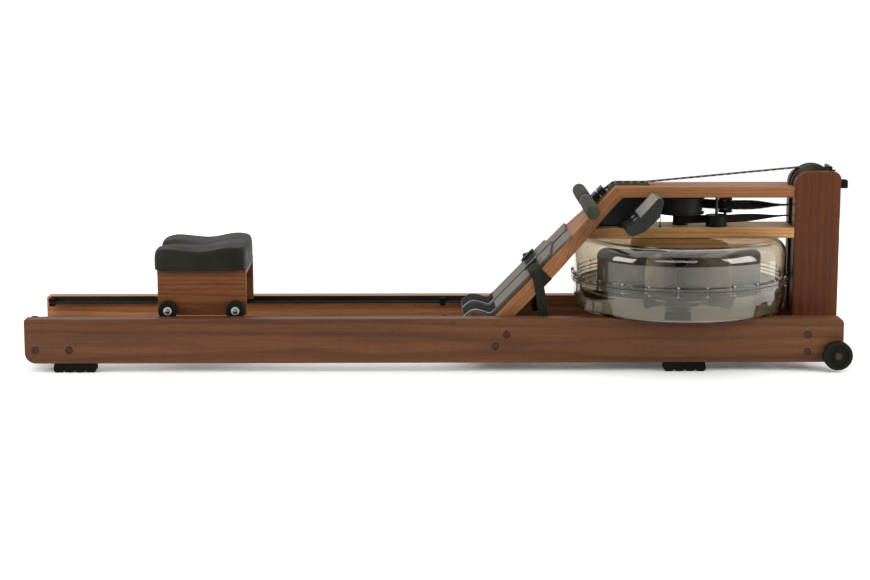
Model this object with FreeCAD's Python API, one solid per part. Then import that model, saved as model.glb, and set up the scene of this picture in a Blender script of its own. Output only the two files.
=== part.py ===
import FreeCAD, Part
import math
import os
from FreeCAD import Vector

# Water-resistance rowing machine in walnut.
# +X points from the seat to the tank, +Z is up, and the rower's right hand is on -Y.
# The origin is on the floor, under the middle of the overall box. Lengths are in millimetres.

# Side rails
RAIL_REAR = -1057.5
RAIL_FRONT = 1032.0
RAIL_BOTTOM = 23.0
RAIL_TOP = 138.0
RAIL_OUT = 187.7
RAIL_IN = 149.7
EDGE_ROUND = 2.5

# Seat track: an L section on the inner face of each rail
TRACK_REAR = -1045.0
TRACK_FRONT = 120.0
TRACK_LEG = 3.0
LEDGE_IN = 124.0
LEDGE_TOP = 125.7
LEDGE_THICK = 4.0

# Cross boards
REAR_SPREADER_X = (-1050.0, -924.0)
REAR_SPREADER_Z = (44.0, 72.0)
CROSS_BOARD_X = (922.0, 957.5)
CROSS_BOARD_Z = (28.0, 118.0)
BOARD_GAP = 0.2

# Upper frame
POST_REAR = 920.0
POST_FRONT = 1038.0
POST_TOP = 497.0
POST_FOOT = 30.0
POST_OUT = 61.7
POST_IN = 23.7
TOP_BOARD_TOP = 458.0
TOP_BOARD_BOTTOM = 430.0
TOP_BOARD_HALF = 58.0
DECK_TOP = 352.0
DECK_BOTTOM = 325.0
DECK_HALF = 61.7
BUMPER_FRONT = 1057.5

# Sloping footboard: its rear face passes through this point at this angle
SLOPE_X = 142.0
SLOPE_Z = 132.0
SLOPE_DEG = 46.0
FOOTBOARD_THICK = 33.0
FOOTBOARD_LOW = -95.0
SPREADER_THICK = 25.0
STRAP_S = (142.0, 174.0)

# Tank and paddle
TANK_X = 631.0
TANK_BODY_R = 277.0
TANK_LIP_R = 285.0
TANK_WALL = 4.0
SEAM_Z = 220.0
SEAL_THICK = 1.2
LIP_THICK = 9.4
SCREW_COUNT = 24
BLADE_COUNT = 6
BLADE_R = 215.0
SHAFT_R = 6.0
HUB_Z = (158.0, 304.0)
HUB_FLARE_R = 126.0
PLUG_R = 19.0

# Strap drive
DRUM_R = 63.0
DRUM_Z = (383.0, 427.0)
SPOOL_R = 21.5
SPOOL_Z = (354.0, 382.0)
UPPER_ROLLER = (752.0, 20.0, 18.0)
LOWER_ROLLER = (722.0, -29.0, 27.0)
TOP_PULLEY = (973.0, 455.0, 50.0)
TOP_FLANGE = 8.0
LOWER_PULLEY = (969.0, 346.0, 29.0)
FLOOR_PULLEY = (978.5, 68.5, 15.0)
STRAP_WIDTH = 25.0
STRAP_THICK = 2.0
CORD_R = 5.0
CORD_BEND = 20.5
CORD_LOW = FLOOR_PULLEY[1] - CORD_BEND
AXLE_R = 5.0
AXLE_END = 52.0
BOLT_R = 4.0
SKID_THICK = 6.0

# Seat
SEAT_X = -610.0
SEAT_LONG = 227.0
SEAT_PAD_LONG = 238.0
SEAT_PAD_HALF = 145.0
SEAT_PAD_Z = (253.0, 314.0)
SEAT_BOARD_THICK = 12.0
PANEL_OUT = 125.0
PANEL_THICK = 20.0
PANEL_BOTTOM = 137.0
SEAT_WHEEL_R = 25.0
SEAT_WHEEL_Y = (127.5, 145.5)
SEAT_WHEEL_REACH = 86.5
SEAT_STOP_X = (-1040.0, 12.0)

# Transport wheels
CARRY_X = 1015.0
CARRY_Z = 43.0
CARRY_R = 37.3
CARRY_Y = (189.7, 213.0)
CARRY_AXLE_R = 6.0

# Handle, at rest on the slope
HANDLE_S = 371.7
HANDLE_N = 22.5
HANDLE_HALF = 230.0
GRIP_R = 18.5
BAR_R = 10.0
YOKE_LONG = 56.0

# Display
DISPLAY_PIVOT = (482.0, 368.0)
DISPLAY_Y = (-200.0, -66.0)
DISPLAY_DEG = 47.5
DISPLAY_PIN_R = 5.0
BUTTON_R = 6.0
BUTTON_Y = (-160.0, -106.0)
BUTTON_ALONG = 24.0

os.makedirs("parts", exist_ok=True)

SLOPE = math.radians(SLOPE_DEG)
UP_SLOPE = Vector(math.cos(SLOPE), 0, math.sin(SLOPE))
OFF_SLOPE = Vector(-math.sin(SLOPE), 0, math.cos(SLOPE))


def save(name, *solids):
    """Write one sub-part, which may be a group of separate solids."""
    shape = solids[0] if len(solids) == 1 else Part.makeCompound(list(solids))
    shape.exportStep(os.path.join("parts", name + ".step"))


def box(x0, x1, y0, y1, z0, z1):
    return Part.makeBox(x1 - x0, y1 - y0, z1 - z0, Vector(x0, y0, z0))


def rod(radius, start, end):
    """Round bar from one point to another."""
    along = Vector(*end) - Vector(*start)
    return Part.makeCylinder(radius, along.Length, Vector(*start), along)


def mirrored(shape):
    """The same piece on the other side of the middle plane."""
    return shape.mirror(Vector(0, 0, 0), Vector(0, 1, 0))


def both_sides(shape):
    return [shape, mirrored(shape)]


def at_slope(s, n, y=0.0):
    """Point at distance s up the slope and n off its rear face."""
    return Vector(SLOPE_X, y, SLOPE_Z) + UP_SLOPE * s + OFF_SLOPE * n


def in_xz(y):
    return lambda a, b: Vector(a, y, b)


def in_xy(z):
    return lambda a, b: Vector(a, b, z)


def outline(corners, place):
    """Face bounded by straight sides whose corners (a, b, radius) are rounded."""
    edges = []
    joints = []
    count = len(corners)
    for i in range(count):
        before = Vector(corners[i - 1][0], corners[i - 1][1], 0)
        here = Vector(corners[i][0], corners[i][1], 0)
        after = Vector(corners[(i + 1) % count][0], corners[(i + 1) % count][1], 0)
        radius = corners[i][2]
        if radius == 0:
            joints.append((here, None, here))
            continue
        back = (before - here).normalize()
        ahead = (after - here).normalize()
        half = back.getAngle(ahead) / 2
        middle = (back + ahead).normalize()
        centre = here + middle * (radius / math.sin(half))
        reach = radius / math.tan(half)
        joints.append((here + back * reach, centre - middle * radius, here + ahead * reach))
    for i in range(count):
        start, middle, end = [p if p is None else place(p.x, p.y) for p in joints[i]]
        if middle is not None:
            edges.append(Part.Arc(start, middle, end).toShape())
        following = place(joints[(i + 1) % count][0].x, joints[(i + 1) % count][0].y)
        if (following - end).Length > 1e-6:
            edges.append(Part.makeLine(end, following))
    return Part.Face(Part.Wire(edges))


def slab(corners, y0, y1):
    """Outline in the XZ plane, thick along Y."""
    return outline(corners, in_xz(y0)).extrude(Vector(0, y1 - y0, 0))


def turned(corners, x, y):
    """Outline in (radius, z), turned about a vertical axis."""
    face = outline(corners, lambda r, z: Vector(x + r, y, z))
    return face.revolve(Vector(x, y, 0), Vector(0, 0, 1), 360)


def wheel_y(x, y, z, corners):
    """Disc with a section (radius, offset) turned about an axis along Y."""
    face = outline(corners, lambda r, w: Vector(x, y + w, z + r))
    return face.revolve(Vector(x, y, z), Vector(0, 1, 0), 360)


def softened(shape, radius, keep=lambda edge: True):
    """Round the edges that a test picks."""
    edges = [edge for edge in shape.Edges if keep(edge)]
    return shape.makeFillet(radius, edges)


def rail_bolt_points():
    """Centres, in X and Z, of the bolts that go through each rail into a cross board."""
    slope_mid = -FOOTBOARD_THICK - SPREADER_THICK / 2
    lower = at_slope(-48.0, slope_mid)
    upper = at_slope(-6.0, slope_mid)
    rear_z = sum(REAR_SPREADER_Z) / 2
    cross_x = sum(CROSS_BOARD_X) / 2
    return [
        (-1030.0, rear_z),
        (-944.0, rear_z),
        (lower.x, lower.z),
        (upper.x, upper.z),
        (cross_x, 94.0),
        (cross_x, 50.0),
    ]


BOLT_HEAD_R = 7.5
RECESS_R = 9.5
RECESS_DEEP = 4.5


def bolt_holes(y_out, y_in, recess):
    """Tools that drill every rail bolt on the near side."""
    tools = []
    for x, z in rail_bolt_points():
        tools.append(rod(BOLT_R + 0.1, (x, -y_out, z), (x, -y_in, z)))
        if recess:
            tools.append(rod(RECESS_R, (x, -y_out, z), (x, -y_out + RECESS_DEEP, z)))
    return tools


def right_rail():
    corners = [
        (RAIL_REAR, RAIL_BOTTOM, 28),
        (RAIL_FRONT, RAIL_BOTTOM, 6),
        (RAIL_FRONT, RAIL_TOP, 17),
        (RAIL_REAR, RAIL_TOP, 6),
    ]
    board = slab(corners, -RAIL_OUT, -RAIL_IN)
    board = softened(board, EDGE_ROUND, lambda e: abs(e.BoundBox.YLength) < 1e-6)
    axle = rod(CARRY_AXLE_R + 0.1, (CARRY_X, -RAIL_OUT, CARRY_Z), (CARRY_X, -RAIL_IN, CARRY_Z))
    return board.cut(bolt_holes(RAIL_OUT, RAIL_IN, True) + [axle])


def right_track():
    """Track pressed on the rail: an upright strip above a flat ledge."""
    leg = box(TRACK_REAR, TRACK_FRONT, -RAIL_IN, -RAIL_IN + TRACK_LEG, LEDGE_TOP, RAIL_TOP)
    ledge = box(TRACK_REAR, TRACK_FRONT, -RAIL_IN, -LEDGE_IN, LEDGE_TOP - LEDGE_THICK, LEDGE_TOP)
    return [leg, ledge]


def seat_stop(x):
    """Small rubber bumper across the track's ledge, with its fixing below."""
    upper = box(x - 8, x + 8, -RAIL_IN + TRACK_LEG, -LEDGE_IN + 2, LEDGE_TOP, LEDGE_TOP + 10)
    upper = softened(upper, 3, lambda e: e.BoundBox.YLength > 5 and e.BoundBox.ZMin > LEDGE_TOP + 9)
    ledge_bottom = LEDGE_TOP - LEDGE_THICK
    lower = box(x - 7, x + 7, -RAIL_IN, -LEDGE_IN, ledge_bottom - 7, ledge_bottom)
    return [upper, lower]


def rail_foot(x):
    """Rubber foot with four rounded lobes under it."""
    lobes = 4
    pitch = 27.0
    start = x - pitch * lobes / 2
    foot = box(start + 2, start + lobes * pitch - 2, -RAIL_OUT, -RAIL_IN, 13.0, RAIL_BOTTOM)
    for i in range(lobes):
        left = start + i * pitch
        corners = [(left + 0.4, 0, 8), (left + 26.6, 0, 8), (left + 26.6, 20, 8), (left + 0.4, 20, 8)]
        foot = foot.fuse(slab(corners, -RAIL_OUT - 1, -RAIL_IN + 1))
    return foot.removeSplitter()


def rear_spreader():
    side = RAIL_IN
    board = box(*REAR_SPREADER_X, -side, side, *REAR_SPREADER_Z)
    board = softened(board, 2, lambda e: e.BoundBox.YLength > 100)
    holes = bolt_holes(RAIL_IN + 1, 100, False)
    return board.cut(holes + [mirrored(h) for h in holes])


def slope_board(s0, s1, n0, n1, half):
    """Straight board lying parallel to the footboard."""
    corners = [at_slope(s0, n0), at_slope(s1, n0), at_slope(s1, n1), at_slope(s0, n1)]
    return slab([(p.x, p.z, 0) for p in corners], -half, half)


def middle_spreader():
    board = slope_board(-68, 14, -FOOTBOARD_THICK - SPREADER_THICK, -FOOTBOARD_THICK, RAIL_IN)
    board = softened(board, 2, lambda e: e.BoundBox.YLength > 100)
    holes = bolt_holes(RAIL_IN + 1, 100, False)
    return board.cut(holes + [mirrored(h) for h in holes])


def front_cross_board():
    board = box(*CROSS_BOARD_X, -RAIL_IN, RAIL_IN, *CROSS_BOARD_Z)
    holes = bolt_holes(RAIL_IN + 1, 100, False)
    start, end = CROSS_BOARD_X
    cord_hole = rod(CORD_R + 3, (start - 1, 0, CORD_LOW), (end + 1, 0, CORD_LOW))
    return board.cut(holes + [mirrored(h) for h in holes] + [cord_hole])


def rail_bolt(x, z):
    head = rod(BOLT_HEAD_R, (x, -RAIL_OUT + 1.0, z), (x, -RAIL_OUT + RECESS_DEEP, z))
    shank = rod(BOLT_R, (x, -RAIL_OUT + RECESS_DEEP, z), (x, -102, z))
    key = rod(2.6, (x, -RAIL_OUT, z), (x, -RAIL_OUT + 3.0, z))
    return head.fuse(shank).cut(key).removeSplitter()


def footboard():
    """Sloping board, wide between the rails and narrowing to the top board."""
    half_low = RAIL_IN - BOARD_GAP
    side = [
        (FOOTBOARD_LOW, half_low, 0),
        (207, half_low, 150),
        (408, TOP_BOARD_HALF, 150),
        (470, TOP_BOARD_HALF, 0),
    ]
    other = [(s, -y, r) for s, y, r in reversed(side)]
    face = outline(side + other, lambda s, y: at_slope(s, 0, y))
    board = face.extrude(OFF_SLOPE * -FOOTBOARD_THICK)
    outer = outer_corner()
    inner = mitre_corner()
    far_x = inner.x + 200
    top = outer.z + 100
    corners = [(outer.x, outer.z), (inner.x, inner.z), (far_x, inner.z), (far_x, top), (outer.x - 50, top)]
    beyond = slab([(x, z, 0) for x, z in corners], -RAIL_IN, RAIL_IN)
    board = board.cut(beyond)
    board = softened(board, EDGE_ROUND, lambda e: e.Length > 250 and e.BoundBox.YLength < 1e-6)
    strap_slot = slope_board(STRAP_S[0] - 3, STRAP_S[1] + 3, -FOOTBOARD_THICK - 1, 1, 7)
    return board.cut(strap_slot)


def outer_corner():
    """Where the footboard's rear face meets the top board's upper face."""
    return at_slope((TOP_BOARD_TOP - SLOPE_Z) / math.sin(SLOPE), 0)


def mitre_corner():
    """Where the footboard's front face meets the top board's lower face."""
    start = at_slope(0, -FOOTBOARD_THICK)
    return start + UP_SLOPE * ((TOP_BOARD_BOTTOM - start.z) / math.sin(SLOPE))


def top_board():
    outer = outer_corner()
    inner = mitre_corner()
    corners = [
        (outer.x, outer.z, 0),
        (POST_REAR, TOP_BOARD_TOP, 0),
        (POST_REAR, TOP_BOARD_BOTTOM, 0),
        (inner.x, inner.z, 0),
    ]
    board = slab(corners, -TOP_BOARD_HALF, TOP_BOARD_HALF)
    board = softened(board, EDGE_ROUND, lambda e: e.Length > 300)
    x, z, radius = TOP_PULLEY
    notch = rod(radius + TOP_FLANGE + 4, (x, -21, z), (x, 21, z))
    return board.cut(guide_bolt_holes() + [notch])


def guide_bolt_holes():
    holes = []
    for x, y, radius in (UPPER_ROLLER, LOWER_ROLLER):
        holes.append(rod(BOLT_R + 0.1, (x, y, DECK_TOP - 20), (x, y, TOP_BOARD_BOTTOM + 20)))
    return holes


def tank_deck():
    def front_face_x(z):
        start = at_slope(0, -FOOTBOARD_THICK)
        return start.x + (z - start.z) / math.tan(SLOPE)

    corners = [
        (front_face_x(DECK_BOTTOM), DECK_BOTTOM, 0),
        (front_face_x(DECK_TOP), DECK_TOP, 0),
        (POST_REAR, DECK_TOP, 0),
        (POST_REAR, DECK_BOTTOM, 0),
    ]
    board = slab(corners, -DECK_HALF, DECK_HALF)
    board = softened(board, EDGE_ROUND, lambda e: e.Length > 300)
    shaft_hole = rod(14, (TANK_X, 0, DECK_BOTTOM - 1), (TANK_X, 0, DECK_TOP + 1))
    return board.cut(guide_bolt_holes() + [shaft_hole])


def right_post():
    corners = [
        (CROSS_BOARD_X[1], POST_FOOT, 0),
        (POST_FRONT, POST_FOOT, 4),
        (POST_FRONT, POST_TOP, 18),
        (POST_REAR, POST_TOP, 36),
        (POST_REAR, CROSS_BOARD_Z[1], 0),
        (CROSS_BOARD_X[1], CROSS_BOARD_Z[1], 0),
    ]
    post = slab(corners, -POST_OUT, -POST_IN)

    def upper_side(edge):
        bounds = edge.BoundBox
        return bounds.YLength < 1e-6 and bounds.ZMin > CROSS_BOARD_Z[1] - 1 and bounds.ZMax > POST_TOP - 40

    post = softened(post, EDGE_ROUND, upper_side)
    for x, z, radius in (TOP_PULLEY, LOWER_PULLEY, FLOOR_PULLEY):
        post = post.cut(rod(AXLE_R + 0.1, (x, -AXLE_END - 0.5, z), (x, -POST_IN, z)))
    return post


def post_bumper():
    """Rubber block on the front of a post, for storing the machine on end."""
    block = box(POST_FRONT, BUMPER_FRONT, -55, -30, 454, 475)
    return softened(block, 3, lambda e: e.BoundBox.XMin > BUMPER_FRONT - 1)


def strap_guard():
    """Slim bridge over the top pulley's front that keeps the strap on it."""
    rear, front = 1012, 1020
    bridge = box(rear, front, -34, 34, 503, 508)
    feet = [box(rear, front, y0, y0 + 9, POST_TOP, 503) for y0 in (-34, 25)]
    toes = [box(front, front + 9, y0, y0 + 9, POST_TOP, POST_TOP + 2.5) for y0 in (-34, 25)]
    guard = bridge.fuse(feet + toes).removeSplitter()
    return softened(guard, 1.2, lambda e: e.BoundBox.ZMin > 507)


def pulley(place, width, flange, groove):
    """Pulley on an axle along Y, with a groove as wide as the strap."""
    x, z, radius = place
    half = width / 2
    corners = [
        (AXLE_R + 0.08, -half, 0),
        (radius + flange, -half, 1),
        (radius + flange, -groove / 2 - 1, 0),
        (radius, -groove / 2, 0),
        (radius, groove / 2, 0),
        (radius + flange, groove / 2 + 1, 0),
        (radius + flange, half, 1),
        (AXLE_R + 0.08, half, 0),
    ]
    return wheel_y(x, 0, z, corners)


def pulley_axle(place):
    x, z, radius = place
    shank = rod(AXLE_R, (x, -AXLE_END, z), (x, AXLE_END, z))
    collars = [rod(AXLE_R + 3, (x, y0, z), (x, y0 + 2.4, z)) for y0 in (-POST_IN, POST_IN - 2.4)]
    return shank.fuse(collars).removeSplitter()


def guide_bolt(place):
    x, y, radius = place
    shank = rod(BOLT_R, (x, y, DECK_TOP - 18), (x, y, TOP_BOARD_BOTTOM + 18))
    return shank


def guide_roller(place, z0, z1):
    x, y, radius = place
    rim = 3.0
    corners = [
        (BOLT_R + 0.08, z0, 0),
        (radius + rim, z0, 0.8),
        (radius, z0 + rim, 0),
        (radius, z1 - rim, 0),
        (radius + rim, z1, 0.8),
        (BOLT_R + 0.08, z1, 0),
    ]
    return turned(corners, x, y)


def cord_ferrule():
    """Steel end of the shock cord, seated on the middle spreader."""
    low = CORD_LOW
    barrel = rod(8, (110, 0, low), (190, 0, low))
    cut = barrel.cut(middle_spreader()).cut(footboard())
    barrel = max(cut.Solids, key=lambda solid: solid.CenterOfMass.x)
    return barrel.cut(rod(CORD_R + 0.1, (165, 0, low), (191, 0, low)))


def lower_shell():
    """Lower half of the clear tank, with its screw lip."""
    inner = TANK_BODY_R - TANK_WALL
    lip_top = SEAM_Z - SEAL_THICK / 2
    corners = [
        (0, RAIL_TOP, 0),
        (268, RAIL_TOP, 10),
        (TANK_BODY_R, 178, 26),
        (TANK_BODY_R, lip_top - LIP_THICK, 0),
        (TANK_LIP_R, lip_top - LIP_THICK, 1.5),
        (TANK_LIP_R, lip_top, 0),
        (inner, lip_top, 0),
        (inner, 179, 22),
        (265, RAIL_TOP + TANK_WALL, 7),
        (0, RAIL_TOP + TANK_WALL, 0),
    ]
    return turned(corners, TANK_X, 0).cut(screw_holes())


def upper_shell():
    """Upper half of the clear tank, with the shaft and filling holes."""
    inner = TANK_BODY_R - TANK_WALL
    lip_bottom = SEAM_Z + SEAL_THICK / 2
    corners = [
        (14, DECK_BOTTOM - TANK_WALL, 0),
        (inner, DECK_BOTTOM - TANK_WALL, 38),
        (inner, lip_bottom, 0),
        (TANK_LIP_R, lip_bottom, 0),
        (TANK_LIP_R, lip_bottom + LIP_THICK, 1.5),
        (TANK_BODY_R, lip_bottom + LIP_THICK, 0),
        (TANK_BODY_R, DECK_BOTTOM, 42),
        (14, DECK_BOTTOM, 0),
    ]
    x, y = plug_place()
    hole = rod(PLUG_R + 0.5, (x, y, DECK_BOTTOM - 10), (x, y, DECK_BOTTOM + 5))
    return turned(corners, TANK_X, 0).cut(screw_holes() + [hole])


def plug_place():
    return TANK_X - 90, 150


def fill_plug():
    x, y = plug_place()
    corners = [
        (0, DECK_BOTTOM - 12, 0),
        (PLUG_R - 2, DECK_BOTTOM - 12, 0),
        (PLUG_R, DECK_BOTTOM - 8, 0),
        (PLUG_R, DECK_BOTTOM + 0.4, 0),
        (PLUG_R + 6, DECK_BOTTOM + 0.4, 0),
        (PLUG_R + 6, DECK_BOTTOM + 7, 2),
        (0, DECK_BOTTOM + 7, 0),
    ]
    return turned(corners, x, y)


def screw_places():
    radius = (TANK_BODY_R + TANK_LIP_R) / 2
    for i in range(SCREW_COUNT):
        angle = 2 * math.pi * (i + 0.5) / SCREW_COUNT
        yield TANK_X + radius * math.cos(angle), radius * math.sin(angle)


def screw_holes():
    return [rod(1.6, (x, y, SEAM_Z - 15), (x, y, SEAM_Z + 15)) for x, y in screw_places()]


def tank_screw(x, y):
    top = SEAM_Z + SEAL_THICK / 2 + LIP_THICK
    bottom = SEAM_Z - SEAL_THICK / 2 - LIP_THICK
    head = rod(3.0, (x, y, top), (x, y, top + 2.6))
    shank = rod(1.5, (x, y, bottom), (x, y, top))
    nut = rod(3.0, (x, y, bottom - 2.4), (x, y, bottom))
    return head.fuse([shank, nut]).removeSplitter()


def tank_seal():
    z0 = SEAM_Z - SEAL_THICK / 2
    z1 = SEAM_Z + SEAL_THICK / 2
    inner = TANK_BODY_R - TANK_WALL
    corners = [(inner, z0, 0), (TANK_LIP_R - 0.6, z0, 0), (TANK_LIP_R - 0.6, z1, 0), (inner, z1, 0)]
    return turned(corners, TANK_X, 0).cut(screw_holes())


def shaft_bearings():
    """Flanged bush in the tank's top and deck, and a footstep bearing on the tank's floor."""
    upper = turned(
        [
            (SHAFT_R + 0.06, DECK_BOTTOM - TANK_WALL - 3, 0),
            (13.8, DECK_BOTTOM - TANK_WALL - 3, 0),
            (13.8, DECK_TOP, 0),
            (SHAFT_R + 0.06, DECK_TOP, 0),
        ],
        TANK_X,
        0,
    )
    floor_z = RAIL_TOP + TANK_WALL
    lower = turned(
        [
            (0, floor_z, 0),
            (26, floor_z, 2),
            (26, floor_z + 5, 1),
            (12, floor_z + 10, 0),
            (SHAFT_R + 0.06, floor_z + 10, 0),
            (SHAFT_R + 0.06, floor_z + 3, 0),
            (0, floor_z + 3, 0),
        ],
        TANK_X,
        0,
    )
    return [upper, lower]


def paddle_hub():
    """Trumpet-shaped hub that carries the blades, flared wide at the top."""
    low, high = HUB_Z
    bore = SHAFT_R + 0.02
    corners = [
        (bore, low, 0),
        (46, low, 2),
        (42, low + 12, 8),
        (22, 200, 30),
        (22, 242, 26),
        (62, 277, 45),
        (HUB_FLARE_R, high - 9, 0),
        (HUB_FLARE_R, high - 5, 1),
        (60, high, 0),
        (bore, high, 0),
    ]
    return turned(corners, TANK_X, 0)


def paddle_shaft():
    low = RAIL_TOP + TANK_WALL + 3.4
    return rod(SHAFT_R, (TANK_X, 0, low), (TANK_X, 0, DRUM_Z[1] + 1.5))


def paddle_blades():
    """Flat blades around the hub, with rounded outer corners."""
    low = HUB_Z[0] + 8
    high = HUB_Z[1] - 8
    corners = [(SHAFT_R + 1, low, 0), (BLADE_R, low, 28), (BLADE_R, high, 28), (SHAFT_R + 1, high, 0)]
    blank = slab(corners, -2, 2)
    blank.translate(Vector(TANK_X, 0, 0))
    blank = blank.cut(paddle_hub())
    blade = max(blank.Solids, key=lambda solid: solid.Volume)
    blades = []
    for i in range(BLADE_COUNT):
        turned_blade = blade.copy()
        turned_blade.rotate(Vector(TANK_X, 0, 0), Vector(0, 0, 1), 360 / BLADE_COUNT * i)
        blades.append(turned_blade)
    return blades


def strap_drum(radius, z0, z1, rim):
    """Flanged drum on the paddle shaft's axis."""
    bore = SHAFT_R + 0.08
    corners = [
        (bore, z0, 0),
        (radius, z0, 1),
        (radius, z0 + rim, 0),
        (radius - 5, z0 + rim, 0),
        (radius - 5, z1 - rim, 0),
        (radius, z1 - rim, 0),
        (radius, z1, 1),
        (bore, z1, 0),
    ]
    return turned(corners, TANK_X, 0)


def band(points, width, place_low):
    """Flat strap standing on edge: a path in XY, given thickness and height."""
    z0, z1 = place_low
    solids = []
    for (x0, y0), (x1, y1) in zip(points[:-1], points[1:]):
        along = Vector(x1 - x0, y1 - y0, 0).normalize()
        side = Vector(-along.y, along.x, 0) * (width / 2)
        a = Vector(x0, y0, z0)
        b = Vector(x1, y1, z0)
        face = Part.Face(Part.makePolygon([a + side, b + side, b - side, a - side, a + side]))
        solids.append(face.extrude(Vector(0, 0, z1 - z0)))
    return solids


def twist(x0, z0, height, x1, z1):
    """Strap turning from upright at one end to flat at the other."""
    t = STRAP_THICK / 2
    h = height / 2
    start = [(x0, -t, z0 - h), (x0, t, z0 - h), (x0, t, z0 + h), (x0, -t, z0 + h)]
    end = [(x1, -h, z1 + t), (x1, -h, z1 - t), (x1, h, z1 - t), (x1, h, z1 + t)]
    wires = [Part.makePolygon([Vector(*p) for p in ring + ring[:1]]) for ring in (start, end)]
    return Part.makeLoft(wires, True, True)


def strap_run(points, half):
    """Flat strap lying across Y: a path in XZ of straight pieces (x, z)."""
    solids = []
    for (x0, z0), (x1, z1) in zip(points[:-1], points[1:]):
        along = Vector(x1 - x0, 0, z1 - z0).normalize()
        off = Vector(-along.z, 0, along.x) * (STRAP_THICK / 2)
        a = Vector(x0, -half, z0)
        b = Vector(x1, -half, z1)
        face = Part.Face(Part.makePolygon([a + off, b + off, b - off, a - off, a + off]))
        solids.append(face.extrude(Vector(0, 2 * half, 0)))
    return solids


def wrap(place, start_deg, end_deg, half):
    """Strap lying round part of a pulley."""
    x, z, radius = place
    outer = radius + STRAP_THICK
    face = Part.Face(
        Part.makePolygon(
            [
                Vector(x + radius, -half, z),
                Vector(x + outer, -half, z),
                Vector(x + outer, half, z),
                Vector(x + radius, half, z),
                Vector(x + radius, -half, z),
            ]
        )
    )
    face.rotate(Vector(x, 0, z), Vector(0, -1, 0), start_deg)
    return face.revolve(Vector(x, 0, z), Vector(0, -1, 0), end_deg - start_deg)


def crossing_path(drum, roller, side):
    """Strap path from a drum to a roller that it bends round the other way, ending along +X.

    side is +1 where the strap leaves the drum on its +Y side. The path is straight and then
    follows the roller in short chords.
    """
    x0, y0, r0 = drum
    x1, y1, r1 = roller
    toward = math.atan2((y1 - y0) * side, x1 - x0)
    lean = toward + math.acos((r0 + r1) / math.hypot(x1 - x0, y1 - y0))
    points = [(x0 + r0 * math.cos(lean), y0 + side * r0 * math.sin(lean))]
    chords = 4
    for i in range(chords + 1):
        angle = lean + (math.pi / 2 - lean) * i / chords
        points.append((x1 - r1 * math.cos(angle), y1 - side * r1 * math.sin(angle)))
    return points


def drive_strap():
    """Webbing from the drum, round the top pulley, over the skid and down to the handle."""
    x, z, radius = TOP_PULLEY
    half = STRAP_WIDTH / 2
    reach = radius + STRAP_THICK / 2
    lift = z - reach
    over = SKID_THICK + STRAP_THICK / 2 + 0.3
    corner = outer_corner()
    skid_end = (corner.x + 84, TOP_BOARD_TOP + over)
    bend = (corner.x - over * math.tan(SLOPE / 2), TOP_BOARD_TOP + over)
    away = Vector(x - skid_end[0], 0, z - skid_end[1])
    rise = math.atan2(away.z, away.x) + math.asin(reach / away.Length)
    touch = (x - reach * math.sin(rise), z + reach * math.cos(rise))
    upright = (lift - half, lift + half)
    roller_x, roller_y, roller_r = UPPER_ROLLER
    route = crossing_path((TANK_X, 0, DRUM_R - 3.5), (roller_x, roller_y, roller_r + 1.4), 1)
    twist_x = roller_x + 24
    pieces = band(route + [(twist_x, route[-1][1])], STRAP_THICK, upright)
    pieces.append(twist(twist_x, lift, STRAP_WIDTH, 905, lift))
    pieces += strap_run([(905, lift), (x, lift)], half)
    pieces.append(wrap(TOP_PULLEY, -90, 90 + math.degrees(rise), half))
    yoke_top = at_slope(HANDLE_S + YOKE_LONG + 0.6, HANDLE_N - 12)
    pieces += strap_run([touch, skid_end, bend, (yoke_top.x, yoke_top.z)], half)
    return pieces[0].fuse(pieces[1:]).Solids


def strap_skid():
    """Smooth guide bent over the corner where the slope meets the top board."""
    corner = outer_corner()
    low = at_slope((TOP_BOARD_TOP - SLOPE_Z) / math.sin(SLOPE) - 20, 0)
    low_out = at_slope((TOP_BOARD_TOP - SLOPE_Z) / math.sin(SLOPE) - 20, SKID_THICK)
    bend = at_slope((TOP_BOARD_TOP - SLOPE_Z) / math.sin(SLOPE), SKID_THICK)
    top = TOP_BOARD_TOP + SKID_THICK
    slide = (top - bend.z) / math.sin(SLOPE)
    apex = bend + UP_SLOPE * slide
    corners = [
        (low.x, low.z, 0),
        (corner.x, corner.z, 0),
        (corner.x + 94, TOP_BOARD_TOP, 0),
        (corner.x + 88, top, 3),
        (apex.x, top, 12),
        (low_out.x, low_out.z, 2),
    ]
    return slab(corners, -20, 20)


def recoil_strap():
    """Webbing from the spool, round the lower roller and pulley, down between the posts."""
    x, z, radius = LOWER_PULLEY
    half = 10.5
    top_z = z + radius + STRAP_THICK / 2
    mid_z = sum(SPOOL_Z) / 2
    upright = (mid_z - half, mid_z + half)
    roller_x, roller_y, roller_r = LOWER_ROLLER
    route = crossing_path((TANK_X, 0, SPOOL_R - 3.5), (roller_x, roller_y, roller_r + 1.4), -1)
    twist_x = roller_x + 36
    pieces = band(route + [(twist_x, route[-1][1])], STRAP_THICK, upright)
    pieces.append(twist(twist_x, mid_z, 2 * half, 905, top_z))
    pieces += strap_run([(905, top_z), (x, top_z)], half)
    pieces.append(wrap(LOWER_PULLEY, 0, 90, half))
    down_x = x + radius + STRAP_THICK / 2
    pieces += strap_run([(down_x, z), (down_x, 152)], half)
    return pieces[0].fuse(pieces[1:]).Solids


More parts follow.
